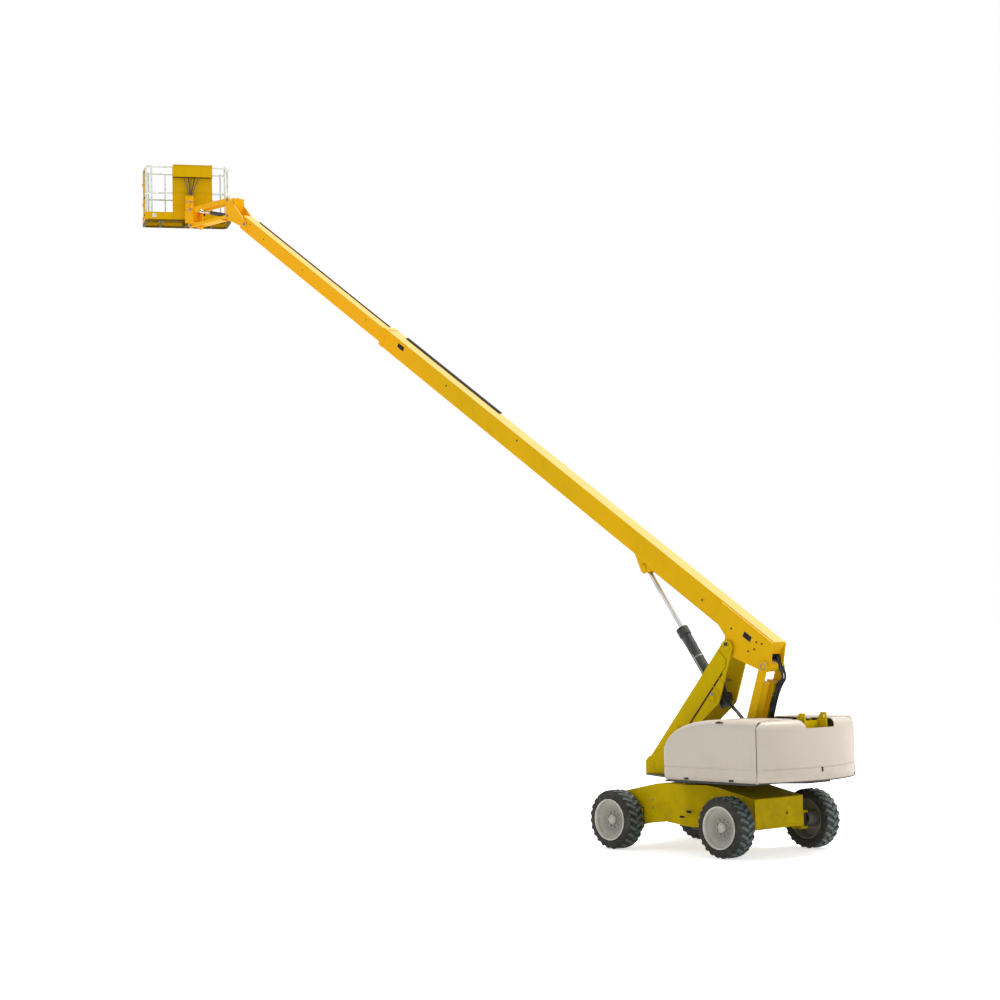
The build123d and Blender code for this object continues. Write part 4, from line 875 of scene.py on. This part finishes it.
class LIFT_OT_linkage_fittings(Operator):
    """Ribs, a strip of painted shade, pin keepers, cylinder ports and the hoses of the lift linkage"""

    bl_idname = "lift.linkage_fittings"
    bl_label = "Lift linkage fittings"

    def execute(self, context):
        sizes = context.scene.lift_sizes
        self.arm(sizes)
        self.barrel()
        self.arm_hoses(sizes)
        self.link(sizes)
        pins = bmesh.new()
        for side in (-1, 1):
            for pin in (ARM_FOOT, LINK_FOOT):
                centre = pin + ACROSS * side * 0.285
                raised_ring(pins, centre, ACROSS * side, 0.006, 0.050, 0.085, 36, 0.003, 0.005)
        new_piece("turntable_pin_rings", pins, "chassis", "turntable")
        return {"FINISHED"}

    def arm(self, sizes):
        along = (ARM_HEAD - ARM_FOOT).normalized()
        axes = axes_along(along)
        front = Vector((-along.z, 0, along.x))
        # Raised band on the arm's plate: along the arm and towards its front
        band = ((0.12, 0.110), (2.56, 0.110), (2.55, -0.12), (2.45, -0.195), (0.44, -0.195), (0.14, -0.105))
        ribs, recess = bmesh.new(), bmesh.new()
        for side in (-1, 1):
            out = ACROSS * side
            face = out * 0.2292
            corners = [ARM_FOOT + along * reach + front * ahead + face for reach, ahead in band]
            plate(ribs, corners, 0.0105, out, 0.004)
            # Black strip of painted shade below the band's lower edge
            block(recess, ARM_FOOT + along * 1.72 - front * 0.206 + face, (1.16, 0.004, 0.022), 0.0015, axes)
            for reach, back, box in (
                (2.0, 0.29, (0.016, 0.018, 0.20)), (2.20, 0.27, (0.014, 0.016, 0.14)),
            ):
                block(ribs, ARM_FOOT + along * reach - front * back + face, box, 0.004, axes)
            for pin, radius in ((ARM_HEAD, 0.068), (ARM_FOOT, 0.068), (BARREL_PIN, 0.080)):
                raised_ring(ribs, pin + out * 0.2295, out, 0.008, radius - 0.008, radius, 40)
        new_piece("arm_recess_shade", recess, "shadow", "lift_arm")
        new_piece("arm_ribs", ribs, "chassis", "lift_arm")

        keepers = bmesh.new()
        for side in (-1, 1):
            pin_keeper(keepers, BARREL_PIN, side, 0.232, sizes)
            pin_keeper(keepers, ARM_HEAD, side, 0.2305, sizes)
        new_piece("arm_keepers", keepers, "bolt", "lift_arm")

    def barrel(self):
        along = (ROD_PIN - BARREL_PIN).normalized()
        tube = bmesh.new()
        for side, start, end in ((1, 0.30, 1.30), (-1, 0.30, 0.90)):
            line = BARREL_PIN + ACROSS * side * 0.108
            bar(tube, line + along * start, line + along * end, 0.009, 12)
            for port in (end, start):
                ends = [BARREL_PIN + ACROSS * side * reach + along * port for reach in (0.092, 0.120)]
                bar(tube, *ends, 0.016, 6, 0.002)
        for start in (0.45, 0.85):
            sleeve(tube, BARREL_PIN + along * start, along, 0.012, 0.0945, 0.098, 40)
        new_piece("barrel_tubes", tube, "bolt", "lift_barrel")

    def arm_hoses(self, sizes):
        for index in range(5):
            side = (index - 2) * 0.017
            sag = 0.03 + 0.02 * (index % 3)
            points = (
                (0.30, side, 3.02), (0.285, side, 2.86), (0.33 + sag * 0.3, side, 2.66),
                (0.42 + sag, side, 2.46), (0.60 + sag, side, 2.36 - sag), (0.74 + sag * 0.5, side, 2.20),
                (0.80, side, 2.02), (0.82, side, 1.80),
            )
            tube = smooth_tube(f"arm_hose_{index + 1}", points, sizes.hose * 0.8)
            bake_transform(tube)
        clamp = bmesh.new()
        block(clamp, (0.30, 0, 2.88), (0.050, 0.26, 0.050), 0.006)
        block(clamp, (0.30, 0, 2.88), (0.018, 0.398, 0.030), 0.003)
        new_piece("arm_hose_clamp", clamp, "bolt", "lift_arm")

    def link(self, sizes):
        along = (LINK_HEAD - LINK_FOOT).normalized()
        back = along.cross(ACROSS)
        axes = axes_along(along)
        boxes = bmesh.new()
        for side in (-1, 1):
            middle = ACROSS * side * 0.126
            block(boxes, LINK_FOOT.lerp(LINK_HEAD, 0.50) + middle, (1.28, 0.130, 0.168), 0.006, axes)
            block(boxes, LINK_FOOT.lerp(LINK_HEAD, 0.853) + middle, (0.028, 0.146, 0.186), 0.006, axes)
        new_piece("link_boxes", boxes, "yellow", "rear_link")
        # The hoses' way down the link: share of its length and distance behind it
        way = (
            (0.93, 0.195), (0.86, 0.17), (0.76, 0.105), (0.66, 0.135), (0.56, 0.11), (0.44, 0.14),
            (0.30, 0.12),
        )
        for index in range(6):
            across = 0.190 - index * 0.0235
            bow = 0.016 * (1 + index % 3)
            points = [boom_place(*place, across) for place in ((0.010, 0.27), (-0.035, 0.29), (-0.065, 0.36))]
            for share, out in way:
                wave = bow if len(points) % 2 else -bow
                shift = Vector((0, across + wave * 0.1, 0))
                points.append(LINK_FOOT.lerp(LINK_HEAD, share) - back * (out + wave) + shift)
            hose_piece(f"link_hose_{index + 1}", points, sizes.hose * 0.95, "rear_link")
        ties = bmesh.new()
        for share in (0.46, 0.74):
            centre = LINK_FOOT.lerp(LINK_HEAD, share) - back * 0.105 + Vector((0, 0.128, 0))
            block(ties, centre, (0.030, 0.140, 0.045), 0.006, axes)
        for side in (-1, 1):
            raised_ring(ties, LINK_HEAD + ACROSS * side * 0.2295, ACROSS * side, 0.010, 0.048, 0.058, 36)
        new_piece("link_ties", ties, "bolt", "rear_link")


class LIFT_OT_chassis_fittings(Operator):
    """Bearing bolts, weld beads, tie-down rings and the drive hoses, with slots, axle box seams and tie-down
    holes as painted shade
    """

    bl_idname = "lift.chassis_fittings"
    bl_label = "Chassis fittings"

    def execute(self, context):
        sizes = context.scene.lift_sizes
        bolts = bmesh.new()
        bolt_circle(bolts, (0, 0, 1.1405), FORWARD, ACROSS, UP, 36, 0.545, sizes.bolt, 0.016)
        for side in (-1, 1):
            for x, z in ((-1.35, 0.60), (-1.35, 0.78), (-0.62, 0.72), (-0.62, 0.86)):
                hex_head(bolts, (x, side * 0.850, z), ACROSS * side, sizes.bolt, 0.012)
        new_piece("chassis_bolts", bolts, "bolt", "chassis")
        self.slots()
        self.welds(sizes)
        # From the frame's inside to the fixed wheels' drives: along, out and up
        way = ((-0.80, 0.60, 0.47), (-0.95, 0.70, 0.415), (-1.10, 0.82, 0.42), (-1.20, 0.885, 0.48))
        for side, name in ((-1, "left"), (1, "right")):
            points = [(x, side * y, z) for x, y, z in way]
            hose_piece(f"drive_hose_{name}", points, sizes.hose, "chassis")
        return {"FINISHED"}

    def slots(self):
        # Black plates, strips and discs of painted shade: slots, the fixed axle box's edge seams and the
        # tie-down holes
        dark = bmesh.new()
        for x, z in ((0.23, 0.69), (0.07, 0.60)):
            for side in (-1, 1):
                block(dark, (x, side * 0.8505, z), (0.11, 0.004, 0.036), 0.0018)
        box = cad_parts["fixed_axle"].bound_box
        right, top = max(c[0] for c in box), AXLE_Z + 0.196
        for side in (-1, 1):
            block(dark, (right + 0.010, side * 0.852, top - 0.165), (0.016, 0.006, 0.34), 0.002)
            block(dark, (right - 0.155, side * 0.852, top + 0.010), (0.34, 0.006, 0.014), 0.002)
        for end in (-1, 1):
            bar(dark, (end * 1.470, *TIE_DOWN), (end * 1.4745, *TIE_DOWN), 0.024, 28)
        new_piece("chassis_slot_shade", dark, "shadow", "chassis")

    def welds(self, sizes):
        welds = bmesh.new()
        for side in (-1, 1):
            for start, end in (
                ((-1.496, 0.846, 0.44), (-1.496, 0.846, 0.93)), ((1.496, 0.598, 0.44), (1.496, 0.598, 0.93)),
                ((-1.49, 0.848, 0.938), (-0.49, 0.848, 1.136)), ((-0.48, 0.848, 1.138), (0.15, 0.848, 1.138)),
            ):
                ends = [(x, side * y, z) for x, y, z in (start, end)]
                bar(welds, *ends, sizes.weld, 8)
        for end, half in ((-1, 0.84), (1, 0.59)):
            for z in (0.915, 0.455):
                block(welds, (end * 1.4995, 0, z), (0.010, half * 2 - 0.02, 0.040), 0.003)
            raised_ring(welds, (end * 1.5, *TIE_DOWN), (end, 0, 0), 0.006, 0.028, 0.046, 32)
        ring = 0.522
        spun(welds, ((0, ring), (0.008, ring), (0.0, ring + 0.012)), (0, 0, 1.140), UP, 64)
        new_piece("chassis_welds", welds, "chassis", "chassis")


class LIFT_OT_turntable_fittings(Operator):
    """Lifting lug rings, cross braces, bearing bolts, swing motor and bearing seal"""

    bl_idname = "lift.turntable_fittings"
    bl_label = "Turntable fittings"

    def execute(self, context):
        sizes = context.scene.lift_sizes
        bm = bmesh.new()
        for side in (-1, 1):
            for face, out in ((0.2855, side), (0.2565, -side)):
                raised_ring(bm, (2.29, side * face, 2.30), ACROSS * out, 0.005, 0.028, 0.050, 32)
        block(bm, (2.06, 0, 1.95), (0.020, 0.510, 0.22), 0.004)
        block(bm, (1.62, 0, 1.60), (0.12, 0.510, 0.012), 0.003)
        for x in (1.15, 1.93):
            for side in (-1, 1):
                block(bm, (x, side * 0.287, 2.05), (0.20, 0.006, 0.030), 0.002)
        new_piece("turntable_braces", bm, "chassis", "turntable")
        bolts = bmesh.new()
        pan_z = 1.2505
        bolt_circle(bolts, (0, 0, pan_z), FORWARD, ACROSS, UP, 32, 0.44, sizes.bolt, 0.014, 0.5)
        new_piece("bearing_bolts", bolts, "bolt", "turntable")
        motor = bmesh.new()
        for low, high, radius in ((pan_z, 1.42, 0.075), (1.42, 1.50, 0.055)):
            bar(motor, (-0.42, 0, low), (-0.42, 0, high), radius, 28, 0.006)
        new_piece("swing_motor", motor, "dark", "turntable")
        seal = bmesh.new()
        spun(seal, ((0, 0.500), (0.034, 0.500), (0.034, 0.560), (0, 0.575)), (0, 0, 1.182), UP, 72)
        new_piece("bearing_seal", seal, "plastic", "chassis")
        return {"FINISHED"}


class LIFT_OT_jib_fittings(Operator):
    """Pin ends, hoses and rotator details of the jib"""

    bl_idname = "lift.jib_fittings"
    bl_label = "Jib fittings"

    def execute(self, context):
        sizes = context.scene.lift_sizes
        upper_z, lower_z = 13.42, 13.06
        foot_x, head_x = -14.12, -15.57
        head = bmesh.new()
        self.pin_ends(head, ((foot_x, upper_z), (foot_x, lower_z), TIP_PIVOT), sizes)
        new_piece("head_pins", head, "bolt", "tip_head")
        support = bmesh.new()
        self.pin_ends(support, ((head_x, upper_z), (head_x, lower_z)), sizes)
        for level in (13.24, 13.44, 13.64):
            sleeve(support, (ROTATOR.x, 0, level), UP, 0.010, 0.0945, 0.100, 48)
        new_piece("support_pins", support, "bolt", "platform_support")
        bars = bmesh.new()
        for x in (-14.5, -14.8, -15.1):
            for side in (-1, 1):
                hex_head(bars, (x, side * 0.121, upper_z), ACROSS * side, sizes.bolt * 0.8, 0.009)
        new_piece("jib_bolts", bars, "bolt", "jib_upper")
        way = ((-14.20, 13.485), (-14.45, 13.490), (-14.80, 13.487), (-15.10, 13.490), (-15.28, 13.486))
        for index, across in enumerate((0.098, 0.076)):
            points = [(x, across, z) for x, z in way]
            hose_piece(f"jib_hose_{index + 1}", points, sizes.hose * 0.75, "jib_upper")
        return {"FINISHED"}

    def pin_ends(self, bm, pins, sizes):
        inner, outer = 0.148, 0.158
        for x, z in pins:
            for side in (-1, 1):
                bar(bm, (x, side * inner, z), (x, side * outer, z), 0.040, 28, 0.003)
                hex_head(bm, (x, side * outer, z), ACROSS * side, sizes.bolt, 0.012)


class LIFT_OT_platform_fittings(Operator):
    """Control panel, hanging cables, rail brackets, deck tread and gate latch"""

    bl_idname = "lift.platform_fittings"
    bl_label = "Platform fittings"

    def execute(self, context):
        near, far, half = 0.210, 1.120, 0.980
        deck = bmesh.new()
        platform_block(
            deck, (near + far) / 2, 0, 13.3712, (far - near - 0.16, half * 2 - 0.16, 0.0024), 0.0
        )
        new_piece("deck_tread", deck, "tread", "platform", smooth=False)
        self.console()
        self.cables()
        plates = bmesh.new()
        for side in (0.78, -0.80):
            platform_block(plates, 0.2075, side, 13.37, (0.004, 0.10, 0.085), 0.0015)
        new_piece("blank_plates", plates, "label", "platform")
        self.rails(near, far, half)
        latch = bmesh.new()
        platform_block(latch, 0.405, 0.951, 14.20, (0.030, 0.050, 0.090), 0.006)
        new_piece("gate_latch", latch, "plastic", "gate")
        return {"FINISHED"}

    def console(self):
        middle = -0.09
        panel = bmesh.new()
        platform_block(panel, 0.125, middle, 14.512, (0.13, 0.80, 0.014), 0.004)
        for side in (-0.34, -0.22, 0.05, 0.18):
            ends = [platform_place(0.12, side + middle, z) for z in (14.488, 14.5145)]
            bar(panel, *ends, 0.012, 14, 0.002)
        platform_block(panel, 0.236, -0.30, 13.40, (0.10, 0.16, 0.05), 0.010)
        new_piece("control_panel", panel, "plastic", "platform")
        trim = bmesh.new()
        for side in (-0.535, 0.355):
            platform_block(trim, 0.202, side, 13.86, (0.022, 0.014, 1.23), 0.004)
        for away, z, box, bevel in (
            (0.198, 13.60, (0.010, 0.86, 0.020), 0.003), (0.198, 13.90, (0.010, 0.86, 0.020), 0.003),
            (0.060, 14.268, (0.020, 0.86, 0.030), 0.006), (0.12, 14.505, (0.165, 0.89, 0.012), 0.005),
        ):
            platform_block(trim, away, middle, z, box, bevel)
        new_piece("console_trim", trim, "platform", "platform")

    def cables(self):
        z = 14.245
        starts = ((0.13, 0.10), (0.12, 0.00), (0.13, -0.06), (0.11, -0.13), (0.12, -0.22))
        for index, (away, side) in enumerate(starts):
            bow = 0.02 + 0.015 * (index % 3)
            points = (
                platform_place(away, side, z), platform_place(away - bow * 0.4, side * 0.9, z - 0.10),
                platform_place(away - bow, side * 0.5 - 0.02, z - 0.24),
                platform_place(away - bow, side * 0.3 - 0.02, z - 0.38),
                platform_place(0.105, side * 0.25 - 0.02, z - 0.50),
            )
            finish = "hose" if index % 2 else "cable"
            hose_piece(f"console_cable_{index + 1}", points, 0.010, "platform", finish)
        gland = bmesh.new()
        platform_block(gland, 0.105, -0.02, 13.735, (0.075, 0.15, 0.050), 0.008)
        new_piece("cable_gland", gland, "plastic", "platform")

    def rails(self, near, far, half):
        rail, bend = 0.029, 0.115
        brackets = bmesh.new()
        for away, side in (
            (near + rail, half - rail - bend), (near + rail, -half + rail + bend),
            (far - rail, half - rail - bend), (far - rail, -half + rail + bend),
            (0.665, -half + rail), (far - rail, 0),
        ):
            platform_block(brackets, away, side, 13.377, (0.058, 0.058, 0.012), 0.003)
            for level in (13.89, 14.496):
                sleeve(brackets, platform_place(away, side, level), UP, 0.030, 0.0215, 0.0262, 24)
        for side in (-0.45, 0.45):
            ends = [platform_place(far - rail, side, z) for z in (13.37, 14.49)]
            bar(brackets, *ends, 0.016, 16)
        new_piece("rail_brackets", brackets, "zinc", "platform")


def seen_by(tree, *rays):
    """1 for the kinds of ray named and 0 for all others."""
    path = add_node(tree, "LightPath")
    seen = path.outputs[rays[0]]
    for ray in rays[1:]:
        seen = combine(tree, seen, path.outputs[ray], "MAXIMUM")
    return seen


class LIFT_OT_stage(Operator):
    """Floor, backdrop, light and the camera of the photograph"""

    bl_idname = "lift.stage"
    bl_label = "Stage"

    def execute(self, context):
        stage = context.scene.lift_stage
        self.floor(context, stage)
        self.world(context, stage)
        self.sun(context, stage)
        self.camera(context)
        context.scene.view_settings.view_transform = "Standard"
        return {"FINISHED"}

    def floor(self, context, stage):
        """Pale floor that glows white for the camera and keeps the machine's soft shadow"""
        bm = bmesh.new()
        bmesh.ops.create_grid(bm, x_segments=1, y_segments=1, size=stage.floor_side / 2)
        mesh = bpy.data.meshes.new("studio_floor")
        bm.to_mesh(mesh)
        bm.free()
        floor = bpy.data.objects.new("studio_floor", mesh)
        context.collection.objects.link(floor)
        material = bpy.data.materials.new("pale_floor")
        material.use_nodes = True
        tree = material.node_tree
        shader = tree.nodes["Principled BSDF"]
        feed(tree, shader, {"Base Color": (0.80, 0.80, 0.80, 1), "Roughness": 0.9})
        glow = add_node(tree, "Emission", {"Color": WHITE, "Strength": 0.62}).outputs["Emission"]
        pale = shader.outputs["BSDF"]
        lit = add_node(tree, "AddShader", {0: pale, 1: glow}).outputs["Shader"]
        seen = seen_by(tree, "Is Camera Ray", "Is Glossy Ray")
        pick = add_node(tree, "MixShader", {"Fac": seen, 1: pale, 2: lit})
        feed(tree, tree.nodes["Material Output"], {"Surface": pick.outputs["Shader"]})
        mesh.materials.append(material)

    def world(self, context, stage):
        world = bpy.data.worlds.new("studio_world")
        context.scene.world = world
        world.use_nodes = True
        tree = world.node_tree
        back = tree.nodes["Background"]
        feed(tree, back, {"Color": WHITE, "Strength": stage.fill})
        white = add_node(tree, "Background", {"Color": WHITE, "Strength": 1})
        seen = seen_by(tree, "Is Camera Ray", "Is Glossy Ray", "Is Transmission Ray")
        both = {"Fac": seen, 1: back.outputs["Background"], 2: white.outputs["Background"]}
        mix = add_node(tree, "MixShader", both)
        feed(tree, tree.nodes["World Output"], {"Surface": mix.outputs["Shader"]})

    def sun(self, context, stage):
        sun = bpy.data.lights.new("key_sun", "SUN")
        sun.energy = stage.sun
        sun.angle = radians(16)
        sun.color = (1.0, 0.93, 0.84)
        lamp = bpy.data.objects.new("key_sun", sun)
        context.collection.objects.link(lamp)
        lamp.rotation_euler = (radians(-24), radians(8), 0)

    def camera(self, context):
        """Camera fitted to the photograph, its focal length in pixels of a 1000-pixel side"""
        focal_pixels, picture_pixels = 2220, 1000
        yaw, pitch, roll = radians(-48.3), radians(3.1), radians(-1.09)
        lens = bpy.data.cameras.new("camera")
        lens.sensor_width = 36
        lens.lens = focal_pixels * 36 / picture_pixels
        lens.clip_end = 600
        camera = bpy.data.objects.new("camera", lens)
        context.collection.objects.link(camera)
        ahead = Vector((cos(pitch) * sin(yaw), cos(pitch) * cos(yaw), sin(pitch)))
        right = Vector((cos(yaw), -sin(yaw), 0))
        up = right.cross(ahead)
        right_rolled = right * cos(roll) + up * sin(roll)
        up_rolled = up * cos(roll) - right * sin(roll)
        turn = Matrix((right_rolled, up_rolled, -ahead)).transposed()
        camera.matrix_world = Matrix.Translation((26.32, -28.23, 3.98)) @ turn.to_4x4()
        context.scene.camera = camera


OPERATORS = (
    LIFT_OT_frame_finishes, LIFT_OT_tyres, LIFT_OT_wheel_fittings, LIFT_OT_covers, LIFT_OT_boom_fittings,
    LIFT_OT_linkage_fittings, LIFT_OT_chassis_fittings, LIFT_OT_turntable_fittings, LIFT_OT_jib_fittings,
    LIFT_OT_platform_fittings, LIFT_OT_stage,
)


class LIFT_PT_panel(Panel):
    """Lists the operators in the sidebar"""

    bl_idname = "LIFT_PT_panel"
    bl_label = "Boom lift"
    bl_space_type = "VIEW_3D"
    bl_region_type = "UI"
    bl_category = "Boom lift"

    def draw(self, context):
        for operator in OPERATORS:
            self.layout.operator(operator.bl_idname)
        for group in (context.scene.lift_finishes, context.scene.lift_sizes, context.scene.lift_stage):
            box = self.layout.box()
            for name in group.__annotations__:
                box.prop(group, name)


CLASSES = (LiftFinishes, LiftSizes, LiftStage, *OPERATORS, LIFT_PT_panel)


def register():
    for item in CLASSES:
        bpy.utils.register_class(item)
    bpy.types.Scene.lift_finishes = PointerProperty(type=LiftFinishes)
    bpy.types.Scene.lift_sizes = PointerProperty(type=LiftSizes)
    bpy.types.Scene.lift_stage = PointerProperty(type=LiftStage)


def unregister():
    del bpy.types.Scene.lift_stage
    del bpy.types.Scene.lift_sizes
    del bpy.types.Scene.lift_finishes
    for item in reversed(CLASSES):
        bpy.utils.unregister_class(item)


def main():
    register()
    bpy.ops.lift.frame_finishes()
    bpy.ops.lift.tyres()
    bpy.ops.lift.wheel_fittings()
    bpy.ops.lift.covers()
    bpy.ops.lift.boom_fittings()
    bpy.ops.lift.linkage_fittings()
    bpy.ops.lift.chassis_fittings()
    bpy.ops.lift.turntable_fittings()
    bpy.ops.lift.jib_fittings()
    bpy.ops.lift.platform_fittings()
    bpy.ops.lift.stage()


if __name__ == "__main__":
    main()
